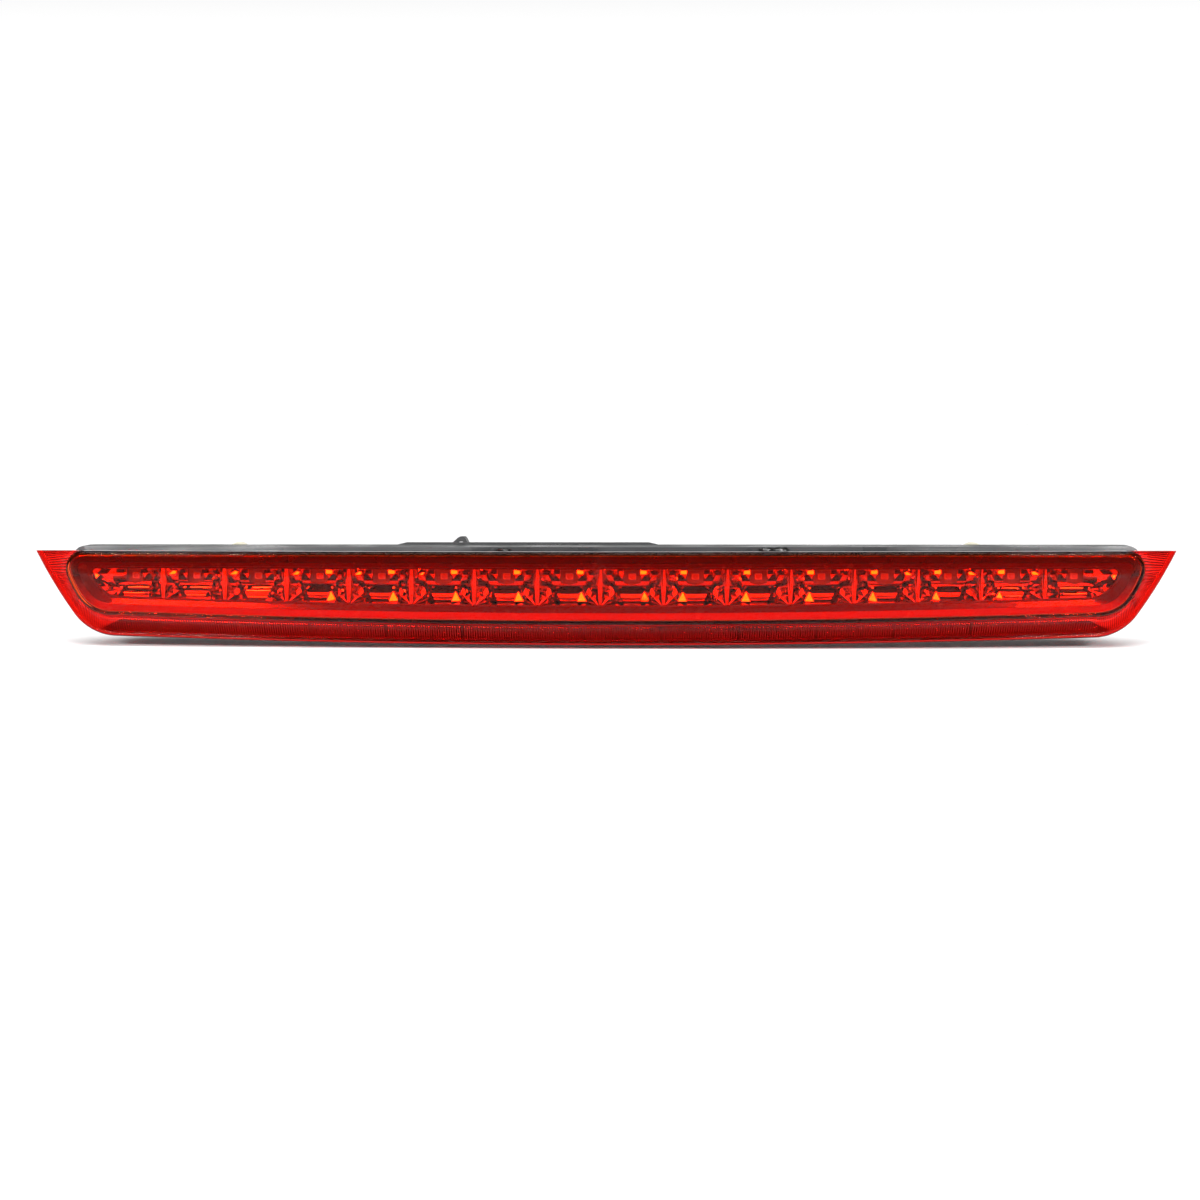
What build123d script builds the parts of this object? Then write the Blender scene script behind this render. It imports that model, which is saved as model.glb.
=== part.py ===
"""Third brake light: a long, bowed LED stop lamp for the middle of a car's tail.

Frame, in millimetres: the origin lies midway between the two mounting studs, on the plane of the
body panel that the lamp is bolted to. +X is to the right seen from behind the car, +Y points
forwards into the car, along the studs, and +Z is up. The lens faces -Y.

The front of the lamp is bowed in plan. "Depth" below means the distance behind that bowed front.
"""

import math
import os

from build123d import *

os.makedirs("parts", exist_ok=True)

# --- driving dimensions -----------------------------------------------------------------------

# Overall
LENS_HALF_WIDTH = 251.4
LENS_TOP = 4.0
LENS_BOTTOM = -37.3
BOTTOM_RADIUS = 6900.0  # the lower edges rise this gently towards the ends
BOW_RADIUS = 3500.0
FRONT_Y = -44.0  # the lens front at mid-width
OVERSIZE = 300.0  # longer than anything it is used to cut

# Lens: a raised cup over the lamp's cavity, and a thin decorative flange at its sides and below it
LENS_WALL = 2.5
SKIRT_END = 12.0  # depth at which the cup's side wall ends
FLANGE_FRONT = 3.5
FLANGE_BACK = 6.0
RIM_WIDTH = 1.8
RIM_FRONT = 2.8
NOTCH_PITCH = 115.0
NOTCH_SIZE = (4.0, 3.0, 1.2)
CUP_EDGE_RADIUS = 1.2

# Inside the cup
BEZEL_FRONT = 3.2
BEZEL_BACK = 4.4
BEZEL_INSET = 3.0
REFLECTOR_FRONT = 4.6
REFLECTOR_BACK = 12.0
REFLECTOR_BORDER = 3.0
LED_COUNT = 16
LED_PITCH = 27.7
LED_Z = -7.4
LED_SIZE = (3.5, 1.1, 2.8)
CELL_MIDDLE_Z = -11.6
CELL_WALL = 1.4
CELL_HEIGHT = 17.0
CELL_FLOOR = (11.0, 8.0)
END_CELL_EXTRA = 6.0  # the outermost cells run on into the window's tips
BOARD_FRONT = 12.4
BOARD_BACK = 14.0
BOARD_SIZE = (434.0, 17.0)
BOARD_Z = -10.0
BOARD_SCREW_Z = -15.5
BOARD_SCREW_CELLS = (-7, -4, -1, 1, 4, 7)  # counted in cells from the middle
BOARD_SCREW_BITE = 5.0
SOLDER_GAP = 0.03
RESISTOR_SIZE = (3.2, 0.6, 1.6)
RESISTOR_PLACES = [-187.0, -132.0, -104.0, -76.0, 76.0, 104.0, 132.0, 187.0]
COMPONENT_Z = -6.5
DIODE_SIZE = (4.3, 2.2, 2.6)
DIODE_X = 6.0
REGULATOR_SIZE = (6.6, 2.3, 9.0)
REGULATOR_X = 30.0

# Housing
SEAT_GAP = 4.0  # from the housing's back wall to the body panel
HOUSING_WALL = 2.2
HOUSING_TOP = 5.3
HOUSING_HALF_WIDTH = 238.6
HOUSING_EDGE_RADIUS = 1.5
HOUSING_END_RADIUS = 9.0
RIM_START = 13.5
BODY_START = 17.0
RIM_INSET = 1.2
LIP_INSETS = (3.0, 4.6)
LIP_START = 9.5
SEALANT_INSETS = (0.3, 2.3)
SUPPORT_X = (-166.2, -55.4, 55.4, 166.2)
SUPPORT_Z = -21.0
SUPPORT_SIZE = (8.0, 2.0)
SUPPORT_CLEARANCE = 0.3

# Wiring cover on the back, and the plug socket that it carries
COVER_LEFT = -93.4
COVER_RIGHT = 24.6
COVER_TOP = 6.1
COVER_BOTTOM = -16.0
COVER_THICKNESS = 2.5
COVER_SLOPE = (4.0, 0.9)
COVER_OPENING = (100.0, 14.8)
COVER_OPENING_Z = -5.1
COVER_SCREW_X = (-89.4, 20.6)
COVER_SCREW_Z = (-12.0, 1.2)
COVER_SCREW_LENGTH = 7.0
SCREW_POST_RADIUS = 3.2
SOCKET_X = -65.7
SOCKET_Z = -1.7
SOCKET_SIZE = (22.0, 13.0)
SOCKET_WALL = 2.0
SOCKET_FLOOR_Y = 4.0
SOCKET_END_Y = 16.0
SOCKET_FLANGE = (36.0, 13.0)
FLANGE_THICKNESS = 2.0
SOCKET_CORE = (14.0, 7.0)
SOCKET_CORE_Y = -8.0
SOCKET_SCREW_X = 14.5
SOCKET_SCREW_LENGTH = 7.0
BRIDGE_START_Y = 2.0
BRIDGE_END_Y = 11.0
BRIDGE_PEAK = 3.4
BRIDGE_FEET_X = (-4.4, 4.0)
BRIDGE_TOP_X = (-0.6, 2.2)
TUNNEL_HEIGHT = 1.3
TUNNEL_FEET_X = (-2.0, 2.0)
TUNNEL_TOP_X = (-0.4, 1.4)
SEAL_OUTER = (20.0, 12.0)
SEAL_THICKNESS = 0.8
PIN_SIZE = (2.8, 0.8)
PIN_PITCH = 8.0
PIN_TIP_Y = 12.0
PIN_TAIL_Y = -12.0
WIRE_RADIUS = 0.8
WIRE_BEND = 4.8
WIRE_LANES_Y = (-19.8, -17.4)
HEADER_SIZE = (8.0, 5.0, 5.0)
HEADER_X = -18.0
HEADER_Z = -9.1
HEADER_PITCH = 3.0

# Fixings, seals and vent
STUD_X = 166.0
STUD_RADIUS = 3.0
STUD_END_Y = 18.0
STUD_TIP_CHAMFER = 0.8
STUD_SHANK_RADIUS = 3.3  # pressed into the housing, and a step thicker than the threaded end
STUD_SHANK_END_Y = -0.2
STUD_HEAD_RADIUS = 4.3
STUD_HEAD_BACK_Y = -9.0
STUD_HEAD_THICKNESS = 3.0
STUD_BOSS_RADIUS = 9.0
STUD_BOSS_FRONT_Y = -14.0
SPACER_RADIUS = 6.2
SPACER_THICKNESS = 3.6
SCREW_RADIUS = 1.5
SCREW_HEAD_RADIUS = 2.8
SCREW_HEAD_HEIGHT = 1.4
UPPER_FOAM_X = [(-226.0, -176.0), (-156.0, -97.0), (29.0, 156.0), (176.0, 226.0)]
UPPER_FOAM_Z = (-2.6, 3.8)
LOWER_FOAM_HALF_WIDTH = 205.0
LOWER_FOAM_Z = (-22.8, -16.8)
END_FOAM_X = (221.0, 226.0)
END_FOAM_Z = (-16.0, -3.4)
EDGE_SEAL_INSETS = (1.6, 8.6)
EDGE_SEAL_DEPTHS = (6.0, 10.0)
EDGE_SEAL_LOW_X = 236.0
EDGE_SEAL_HIGH_X = 213.0
EDGE_SEAL_TRIM_Z = (-38.0, -26.0)
VENT_PLACE = (110.0, -10.0)
VENT_CAP_RADIUS = 5.0
VENT_HOLE_RADIUS = 2.0
VENT_MEMBRANE_THICKNESS = 0.4
VENT_CAP_HEIGHT = 2.4

SOLDERED_AT = BOARD_BACK + SOLDER_GAP
BACK_Y = -SEAT_GAP
INNER_BACK_Y = BACK_Y - HOUSING_WALL
COVER_BACK_Y = BACK_Y + COVER_THICKNESS
FLANGE_Y = COVER_BACK_Y + SEAL_THICKNESS
COVER_MIDDLE_X = (COVER_LEFT + COVER_RIGHT) / 2


# --- shared geometry --------------------------------------------------------------------------


def bow(x):
    """How far the bowed front falls back at this distance from the middle."""
    return BOW_RADIUS - math.sqrt(BOW_RADIUS**2 - x**2)


def at_depth(x, depth):
    """Y of the point that lies this deep behind the bowed front."""
    return FRONT_Y + bow(x) + depth


def on_bow(x, depth, z):
    """A location on the bowed surface at this depth, turned to face along its normal."""
    return Location((x, at_depth(x, depth), z), (0, 0, math.degrees(math.asin(x / BOW_RADIUS))))


def right_crossing(centre_a, radius_a, centre_b, radius_b):
    """The right-hand one of the two points where two circles cross."""
    gap = centre_b - centre_a
    along = (radius_a**2 - radius_b**2 + gap.length**2) / (2 * gap.length)
    across = Vector(gap.Y, -gap.X).normalized() * math.sqrt(radius_a**2 - along**2)
    middle = centre_a + gap.normalized() * along
    return max(middle + across, middle - across, key=lambda point: point.X)


def outline(top, side, foot, bottom, top_corner, foot_corner, grow=0.0):
    """A symmetrical front outline: straight top, bowed slanting sides and a gently arched bottom.

    top is (half width, z), side and foot are points on the right-hand edge, bottom is z at the
    middle, and the corners are radii. grow moves the whole edge out, or in if it is negative.
    """
    edge = ThreePointArc(top, side, foot, mode=Mode.PRIVATE)
    side_centre, side_radius = edge.arc_center, edge.radius + grow
    bottom_centre = Vector(0, bottom + BOTTOM_RADIUS)
    top_z = top[1] + grow
    top_x = side_centre.X + math.sqrt(side_radius**2 - (top_z - side_centre.Y) ** 2)
    low = right_crossing(bottom_centre, BOTTOM_RADIUS + grow, side_centre, side_radius)
    halfway = (Vector(top_x, top_z) + low) / 2 - side_centre
    bulge = side_centre + halfway.normalized() * side_radius
    with BuildSketch(Plane.XZ, mode=Mode.PRIVATE) as sketch:
        with BuildLine():
            Line((-top_x, top_z), (top_x, top_z))
            ThreePointArc((top_x, top_z), (bulge.X, bulge.Y), (low.X, low.Y))
            ThreePointArc((low.X, low.Y), (0, bottom - grow), (-low.X, low.Y))
            ThreePointArc((-low.X, low.Y), (-bulge.X, bulge.Y), (-top_x, top_z))
        make_face()
        if top_corner:
            fillet(sketch.vertices().sort_by(Axis.Y)[-2:], radius=top_corner + grow)
        fillet(sketch.vertices().sort_by(Axis.Y)[:2], radius=foot_corner + grow)
    return sketch.sketch


def lens_outline(grow=0.0):
    """The whole lens, with sharp upper tips."""
    tip = (LENS_HALF_WIDTH, LENS_TOP)
    return outline(tip, (243.8, -10.0), (227.2, -33.6), LENS_BOTTOM, 0.0, 24.0, grow)


def cup_outline(grow=0.0):
    """The raised cup, which closes the lamp's cavity."""
    return outline((239.2, LENS_TOP), (236.0, -9.3), (225.5, -24.3), -28.0, 8.0, 18.0, grow)


def window_outline(grow=0.0):
    """The opening through which the reflector cells show."""
    return outline((227.5, -3.8), (223.6, -10.6), (216.0, -16.1), -19.5, 2.6, 12.0, grow)


def housing_outline(grow=0.0):
    """The housing behind its rim, a little taller than the lens."""
    top = (HOUSING_HALF_WIDTH, HOUSING_TOP)
    return outline(top, (235.4, -9.3), (225.0, -23.7), -27.4, 5.0, 18.0, grow)


def bow_band(front, back):
    """The plan of a layer that lies between two depths behind the bowed front."""
    end = LENS_HALF_WIDTH + 5.0
    with BuildSketch(Plane.XY, mode=Mode.PRIVATE) as sketch:
        with BuildLine():
            ThreePointArc(
                (-end, at_depth(end, front)), (0, FRONT_Y + front), (end, at_depth(end, front))
            )
            Line((end, at_depth(end, front)), (end, at_depth(end, back)))
            ThreePointArc(
                (end, at_depth(end, back)), (0, FRONT_Y + back), (-end, at_depth(end, back))
            )
            Line((-end, at_depth(end, back)), (-end, at_depth(end, front)))
        make_face()
    return sketch.sketch


def bowed_layer(face, front, back, hole=None):
    """A front outline, less another as its hole, made solid between two depths."""
    with BuildPart(mode=Mode.PRIVATE) as layer:
        extrude(face, amount=OVERSIZE, both=True)
        if hole is not None:
            extrude(hole, amount=OVERSIZE, both=True, mode=Mode.SUBTRACT)
        extrude(bow_band(front, back), amount=OVERSIZE, both=True, mode=Mode.INTERSECT)
    return layer.part


def upright(y):
    """The plane across the lamp at this y. A sketch on it is seen from the lens side, with z up,
    and is extruded towards the lens."""
    return Plane((0, y, 0), x_dir=(1, 0, 0), z_dir=(0, -1, 0))


def block_behind(front, back_y, half_width, end_radius):
    """The plan of a block from the bowed depth in front to a flat back with rounded ends."""
    with BuildSketch(Plane.XY, mode=Mode.PRIVATE) as sketch:
        with BuildLine():
            ThreePointArc(
                (-half_width, at_depth(half_width, front)),
                (0, FRONT_Y + front),
                (half_width, at_depth(half_width, front)),
            )
            Line((half_width, at_depth(half_width, front)), (half_width, back_y))
            Line((half_width, back_y), (-half_width, back_y))
            Line((-half_width, back_y), (-half_width, at_depth(half_width, front)))
        make_face()
        fillet(sketch.vertices().sort_by(Axis.Y)[-2:], radius=end_radius)
    return sketch.sketch


def save(part, name):
    """Labels a finished piece and writes it as its own node."""
    part.label = name
    export_step(part, f"parts/{name}.step")


led_places = [(i - (LED_COUNT - 1) / 2) * LED_PITCH for i in range(LED_COUNT)]
screw_places = [cell * LED_PITCH for cell in BOARD_SCREW_CELLS]

# --- outer lens -------------------------------------------------------------------------------

with BuildPart() as lens_rim:
    add(bowed_layer(lens_outline(), RIM_FRONT, FLANGE_BACK, lens_outline(-RIM_WIDTH)))
    # the rim runs down the sides and along the bottom only
    with Locations((0, 0, LENS_TOP)):
        Box(2 * OVERSIZE, OVERSIZE, 2 * RIM_WIDTH, mode=Mode.SUBTRACT)

with BuildPart() as outer_lens:
    add(bowed_layer(cup_outline(), 0.0, SKIRT_END))
    fillet(outer_lens.faces().sort_by(Axis.Y)[0].edges(), radius=CUP_EDGE_RADIUS)
    add(bowed_layer(lens_outline(), FLANGE_FRONT, FLANGE_BACK, cup_outline(-LENS_WALL / 2)))
    add(lens_rim.part)
    add(bowed_layer(cup_outline(-LENS_WALL), LENS_WALL, SKIRT_END + 1), mode=Mode.SUBTRACT)
    notch_y = SKIRT_END - NOTCH_SIZE[1] / 2
    with Locations([(x, at_depth(x, notch_y), LENS_TOP) for x in (-NOTCH_PITCH, 0, NOTCH_PITCH)]):
        Box(*NOTCH_SIZE, mode=Mode.SUBTRACT)
save(outer_lens.part, "outer_lens")

# --- inner bezel and reflector ----------------------------------------------------------------

with BuildPart() as inner_bezel:
    add(bowed_layer(cup_outline(-BEZEL_INSET), BEZEL_FRONT, BEZEL_BACK, window_outline()))
save(inner_bezel.part, "inner_bezel")

# Each cell is a pocket that narrows from its mouth to a floor round its LED.
with BuildPart() as pockets:
    for x in led_places:
        extra = END_CELL_EXTRA if abs(x) == max(led_places) else 0.0
        with BuildSketch(upright(at_depth(x, REFLECTOR_FRONT - 1))):
            with Locations((x + math.copysign(extra / 2, x), CELL_MIDDLE_Z)):
                Rectangle(LED_PITCH - CELL_WALL + extra, CELL_HEIGHT)
        with BuildSketch(upright(at_depth(x, REFLECTOR_BACK + 1))):
            with Locations((x, LED_Z)):
                Rectangle(*CELL_FLOOR)
        loft()
    extrude(window_outline(-0.4), amount=OVERSIZE, both=True, mode=Mode.INTERSECT)

with BuildPart() as reflector:
    add(bowed_layer(window_outline(REFLECTOR_BORDER), REFLECTOR_FRONT, REFLECTOR_BACK))
    add(pockets.part, mode=Mode.SUBTRACT)
    for x in screw_places:
        with BuildSketch(upright(at_depth(x, REFLECTOR_BACK) + 1)):
            with Locations((x, BOARD_SCREW_Z)):
                Circle(SCREW_RADIUS)
        extrude(amount=BOARD_SCREW_BITE + 1, mode=Mode.SUBTRACT)
save(reflector.part, "reflector")

# --- LED board and what is soldered to it -----------------------------------------------------

with BuildSketch(Plane.XZ) as board_face:
    with Locations((0, BOARD_Z)):
        RectangleRounded(*BOARD_SIZE, radius=2.0)
    with Locations([(x, BOARD_SCREW_Z) for x in screw_places]):
        Circle(SCREW_RADIUS + 0.2, mode=Mode.SUBTRACT)
save(bowed_layer(board_face.sketch, BOARD_FRONT, BOARD_BACK), "led_board")

for number, x in enumerate(led_places, start=1):
    with BuildPart() as led:
        with Locations(on_bow(x, BOARD_FRONT - LED_SIZE[1] / 2, LED_Z)):
            Box(*LED_SIZE)
        chamfer(led.faces().sort_by(Axis.Y)[0].edges(), length=0.25)
    save(led.part, f"led_{number:02d}")

for number, x in enumerate(RESISTOR_PLACES, start=1):
    with BuildPart() as resistor:
        with Locations(on_bow(x, SOLDERED_AT + RESISTOR_SIZE[1] / 2, COMPONENT_Z)):
            Box(*RESISTOR_SIZE)
    save(resistor.part, f"resistor_{number}")

with BuildPart() as polarity_diode:
    with Locations(on_bow(DIODE_X, SOLDERED_AT + DIODE_SIZE[1] / 2, COMPONENT_Z)):
        Box(*DIODE_SIZE)
    chamfer(polarity_diode.faces().sort_by(Axis.Y)[-1].edges(), length=0.4)
save(polarity_diode.part, "polarity_diode")

with BuildPart() as current_regulator:
    with Locations(on_bow(REGULATOR_X, SOLDERED_AT + REGULATOR_SIZE[1] / 2, COMPONENT_Z)):
        Box(*REGULATOR_SIZE)
    chamfer(current_regulator.faces().sort_by(Axis.Y)[-1].edges(), length=0.4)
save(current_regulator.part, "current_regulator")

with BuildPart() as board_header:
    with Locations(on_bow(HEADER_X, SOLDERED_AT + HEADER_SIZE[1] / 2, HEADER_Z)):
        Box(*HEADER_SIZE)
    chamfer(board_header.faces().sort_by(Axis.Y)[-1].edges(), length=0.3)
save(board_header.part, "board_header")

with BuildPart() as board_screws:
    for x in screw_places:
        head_y = at_depth(abs(x) + SCREW_HEAD_RADIUS, BOARD_BACK)
        with BuildSketch(upright(head_y + SCREW_HEAD_HEIGHT)):
            with Locations((x, BOARD_SCREW_Z)):
                Circle(SCREW_HEAD_RADIUS)
        extrude(amount=SCREW_HEAD_HEIGHT)
        with BuildSketch(upright(head_y)):
            with Locations((x, BOARD_SCREW_Z)):
                Circle(SCREW_RADIUS)
        extrude(amount=BOARD_BACK - REFLECTOR_BACK + BOARD_SCREW_BITE - 0.3)
save(board_screws.part, "board_screws")

# --- sealant and housing ----------------------------------------------------------------------

sealant_bead = bowed_layer(
    cup_outline(-SEALANT_INSETS[0]), SKIRT_END, RIM_START, cup_outline(-SEALANT_INSETS[1])
)
save(sealant_bead, "sealant_bead")

stud_places = [(-STUD_X, 0), (STUD_X, 0)]
cover_screw_places = [(x, z) for x in COVER_SCREW_X for z in COVER_SCREW_Z]

with BuildPart() as housing:
    # the body, flat at the back and rounded at its ends
    extrude(housing_outline(), amount=OVERSIZE, both=True)
    body_plan = block_behind(BODY_START, BACK_Y, HOUSING_HALF_WIDTH, HOUSING_END_RADIUS)
    extrude(body_plan, amount=OVERSIZE, both=True, mode=Mode.INTERSECT)
    fillet(housing.faces().sort_by(Axis.Y)[-1].edges(), radius=HOUSING_EDGE_RADIUS)
    add(bowed_layer(cup_outline(-RIM_INSET), RIM_START, BODY_START + 2))

with BuildPart() as housing_cavity:
    extrude(housing_outline(-HOUSING_WALL), amount=OVERSIZE, both=True)
    cavity_half_width = HOUSING_HALF_WIDTH - HOUSING_WALL
    cavity_end_radius = HOUSING_END_RADIUS - HOUSING_WALL
    cavity_front = BODY_START + HOUSING_WALL
    cavity_plan = block_behind(cavity_front, INNER_BACK_Y, cavity_half_width, cavity_end_radius)
    extrude(cavity_plan, amount=OVERSIZE, both=True, mode=Mode.INTERSECT)
    add(bowed_layer(cup_outline(-LIP_INSETS[1]), RIM_START - 1, cavity_front + 1))

with BuildPart() as housing_bosses:
    with BuildSketch(upright(BACK_Y - HOUSING_EDGE_RADIUS)):
        with Locations(stud_places):
            Circle(STUD_BOSS_RADIUS)
    extrude(amount=BACK_Y - HOUSING_EDGE_RADIUS - STUD_BOSS_FRONT_Y)
    with BuildSketch(upright(BACK_Y - HOUSING_EDGE_RADIUS)):
        with Locations(cover_screw_places):
            Circle(SCREW_POST_RADIUS)
    extrude(amount=COVER_SCREW_LENGTH)
    for x in SUPPORT_X:
        with BuildSketch(upright(INNER_BACK_Y + 0.5)):
            with Locations((x, SUPPORT_Z)):
                Rectangle(*SUPPORT_SIZE)
        extrude(amount=INNER_BACK_Y + 0.5 - at_depth(x, REFLECTOR_BACK) - SUPPORT_CLEARANCE)
    extrude(housing_outline(-0.2), amount=OVERSIZE, both=True, mode=Mode.INTERSECT)

with BuildPart() as housing_shell:
    add(housing.part)
    add(housing_cavity.part, mode=Mode.SUBTRACT)
    add(bowed_layer(cup_outline(-LIP_INSETS[0]), LIP_START, RIM_START, cup_outline(-LIP_INSETS[1])))
    add(housing_bosses.part)
    with BuildSketch(upright(BACK_Y)):
        with Locations(stud_places):
            Circle(STUD_SHANK_RADIUS)
    extrude(amount=BACK_Y - STUD_HEAD_BACK_Y, mode=Mode.SUBTRACT)
    with BuildSketch(upright(STUD_HEAD_BACK_Y)):
        with Locations(stud_places):
            Circle(STUD_HEAD_RADIUS)
    extrude(amount=STUD_HEAD_BACK_Y - STUD_BOSS_FRONT_Y, mode=Mode.SUBTRACT)
    with BuildSketch(upright(BACK_Y)):
        with Locations(cover_screw_places):
            Circle(SCREW_RADIUS)
    extrude(amount=COVER_SCREW_LENGTH, mode=Mode.SUBTRACT)
    with BuildSketch(upright(BACK_Y)):
        with Locations((COVER_MIDDLE_X, COVER_OPENING_Z)):
            RectangleRounded(*COVER_OPENING, radius=3.0)
        with Locations(VENT_PLACE):
            Circle(VENT_HOLE_RADIUS)
    extrude(amount=HOUSING_WALL, mode=Mode.SUBTRACT)
save(housing_shell.part, "housing")

# --- wiring cover -----------------------------------------------------------------------------

socket_screw_places = [(SOCKET_X - SOCKET_SCREW_X, SOCKET_Z), (SOCKET_X + SOCKET_SCREW_X, SOCKET_Z)]

with BuildPart() as wiring_cover:
    with BuildSketch(upright(COVER_BACK_Y)):
        with BuildLine():
            Polyline(
                (COVER_LEFT, COVER_BOTTOM),
                (COVER_RIGHT, COVER_BOTTOM),
                (COVER_RIGHT, COVER_TOP - COVER_SLOPE[1]),
                (COVER_RIGHT - COVER_SLOPE[0], COVER_TOP),
                (COVER_LEFT + COVER_SLOPE[0], COVER_TOP),
                (COVER_LEFT, COVER_TOP - COVER_SLOPE[1]),
                close=True,
            )
        make_face()
    extrude(amount=COVER_THICKNESS)
    fillet(wiring_cover.edges().filter_by(Axis.Y).sort_by(Axis.Z)[:2], radius=3.0)
    with BuildSketch(upright(BACK_Y)):
        with Locations(socket_screw_places):
            Circle(SCREW_POST_RADIUS - 0.2)
    extrude(amount=SOCKET_SCREW_LENGTH)
    with BuildSketch(upright(COVER_BACK_Y)):
        with Locations((SOCKET_X, SOCKET_Z)):
            Rectangle(SOCKET_CORE[0] + 0.4, SOCKET_CORE[1] + 0.4)
        with Locations(cover_screw_places):
            Circle(SCREW_RADIUS + 0.1)
    extrude(amount=COVER_THICKNESS, mode=Mode.SUBTRACT)
    with BuildSketch(upright(COVER_BACK_Y)):
        with Locations(socket_screw_places):
            Circle(SCREW_RADIUS)
    extrude(amount=SOCKET_SCREW_LENGTH, mode=Mode.SUBTRACT)
save(wiring_cover.part, "wiring_cover")


def screws(places, seat_y, length):
    """Pan-head screws that go in towards the lens from a seat at this y."""
    with BuildPart(mode=Mode.PRIVATE) as group:
        with BuildSketch(upright(seat_y + SCREW_HEAD_HEIGHT)):
            with Locations(places):
                Circle(SCREW_HEAD_RADIUS)
        extrude(amount=SCREW_HEAD_HEIGHT)
        with BuildSketch(upright(seat_y)):
            with Locations(places):
                Circle(SCREW_RADIUS)
        extrude(amount=length)
    return group.part


save(screws(cover_screw_places, COVER_BACK_Y, COVER_SCREW_LENGTH), "cover_screws")

# --- plug socket, its pins and the inner wires ------------------------------------------------

pin_places = [(SOCKET_X - PIN_PITCH / 2, SOCKET_Z), (SOCKET_X + PIN_PITCH / 2, SOCKET_Z)]
flange_back_y = FLANGE_Y + FLANGE_THICKNESS
socket_top = SOCKET_Z + SOCKET_SIZE[1] / 2

# The bridge that the plug's latch slides under: a lopsided arch on top of the socket.
with BuildSketch(upright(BRIDGE_END_Y)) as bridge_face:
    with BuildLine():
        Polyline(
            (SOCKET_X + BRIDGE_FEET_X[0], socket_top - 1),
            (SOCKET_X + BRIDGE_FEET_X[0], socket_top),
            (SOCKET_X + BRIDGE_TOP_X[0], socket_top + BRIDGE_PEAK),
            (SOCKET_X + BRIDGE_TOP_X[1], socket_top + BRIDGE_PEAK),
            (SOCKET_X + BRIDGE_FEET_X[1], socket_top),
            (SOCKET_X + BRIDGE_FEET_X[1], socket_top - 1),
            close=True,
        )
    make_face()
    fillet(bridge_face.vertices().sort_by(Axis.Y)[-2:], radius=1.2)
with BuildSketch(upright(BRIDGE_END_Y)) as tunnel_face:
    with BuildLine():
        Polyline(
            (SOCKET_X + TUNNEL_FEET_X[0], socket_top),
            (SOCKET_X + TUNNEL_TOP_X[0], socket_top + TUNNEL_HEIGHT),
            (SOCKET_X + TUNNEL_TOP_X[1], socket_top + TUNNEL_HEIGHT),
            (SOCKET_X + TUNNEL_FEET_X[1], socket_top),
            close=True,
        )
    make_face()

with BuildPart() as connector_socket:
    with BuildSketch(upright(flange_back_y)):
        with Locations((SOCKET_X, SOCKET_Z)):
            RectangleRounded(*SOCKET_FLANGE, radius=3.0)
        with Locations(socket_screw_places):
            Circle(SCREW_RADIUS + 0.1, mode=Mode.SUBTRACT)
    extrude(amount=FLANGE_THICKNESS)
    with BuildSketch(upright(SOCKET_END_Y)):
        with Locations((SOCKET_X, SOCKET_Z)):
            RectangleRounded(*SOCKET_SIZE, radius=2.0)
    extrude(amount=SOCKET_END_Y - flange_back_y)
    with BuildSketch(upright(FLANGE_Y)):
        with Locations((SOCKET_X, SOCKET_Z)):
            Rectangle(*SOCKET_CORE)
    extrude(amount=FLANGE_Y - SOCKET_CORE_Y)
    extrude(bridge_face.sketch, amount=BRIDGE_END_Y - BRIDGE_START_Y)
    extrude(tunnel_face.sketch, amount=BRIDGE_END_Y - BRIDGE_START_Y, mode=Mode.SUBTRACT)
    with BuildSketch(upright(SOCKET_END_Y)):
        with Locations((SOCKET_X, SOCKET_Z)):
            RectangleRounded(
                SOCKET_SIZE[0] - 2 * SOCKET_WALL, SOCKET_SIZE[1] - 2 * SOCKET_WALL, radius=1.0
            )
    extrude(amount=SOCKET_END_Y - SOCKET_FLOOR_Y, mode=Mode.SUBTRACT)
    with BuildSketch(upright(SOCKET_FLOOR_Y)):
        with Locations(pin_places):
            Rectangle(*PIN_SIZE)
    extrude(amount=SOCKET_FLOOR_Y - SOCKET_CORE_Y, mode=Mode.SUBTRACT)
save(connector_socket.part, "connector_socket")

with BuildPart() as connector_seal:
    with BuildSketch(upright(FLANGE_Y)):
        with Locations((SOCKET_X, SOCKET_Z)):
            RectangleRounded(*SEAL_OUTER, radius=2.0)
            Rectangle(SOCKET_CORE[0] + 0.4, SOCKET_CORE[1] + 0.4, mode=Mode.SUBTRACT)
    extrude(amount=SEAL_THICKNESS)
save(connector_seal.part, "connector_seal")

socket_screws = screws(socket_screw_places, flange_back_y, SOCKET_SCREW_LENGTH)
save(socket_screws, "socket_screws")

for place, name in zip(pin_places, ("supply_pin", "ground_pin")):
    with BuildPart() as pin:
        with BuildSketch(upright(PIN_TIP_Y)):
            with Locations(place):
                Rectangle(*PIN_SIZE)
        extrude(amount=PIN_TIP_Y - PIN_TAIL_Y)
        chamfer(pin.faces().sort_by(Axis.Y)[-1].edges(), length=0.25)
    save(pin.part, name)

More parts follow.
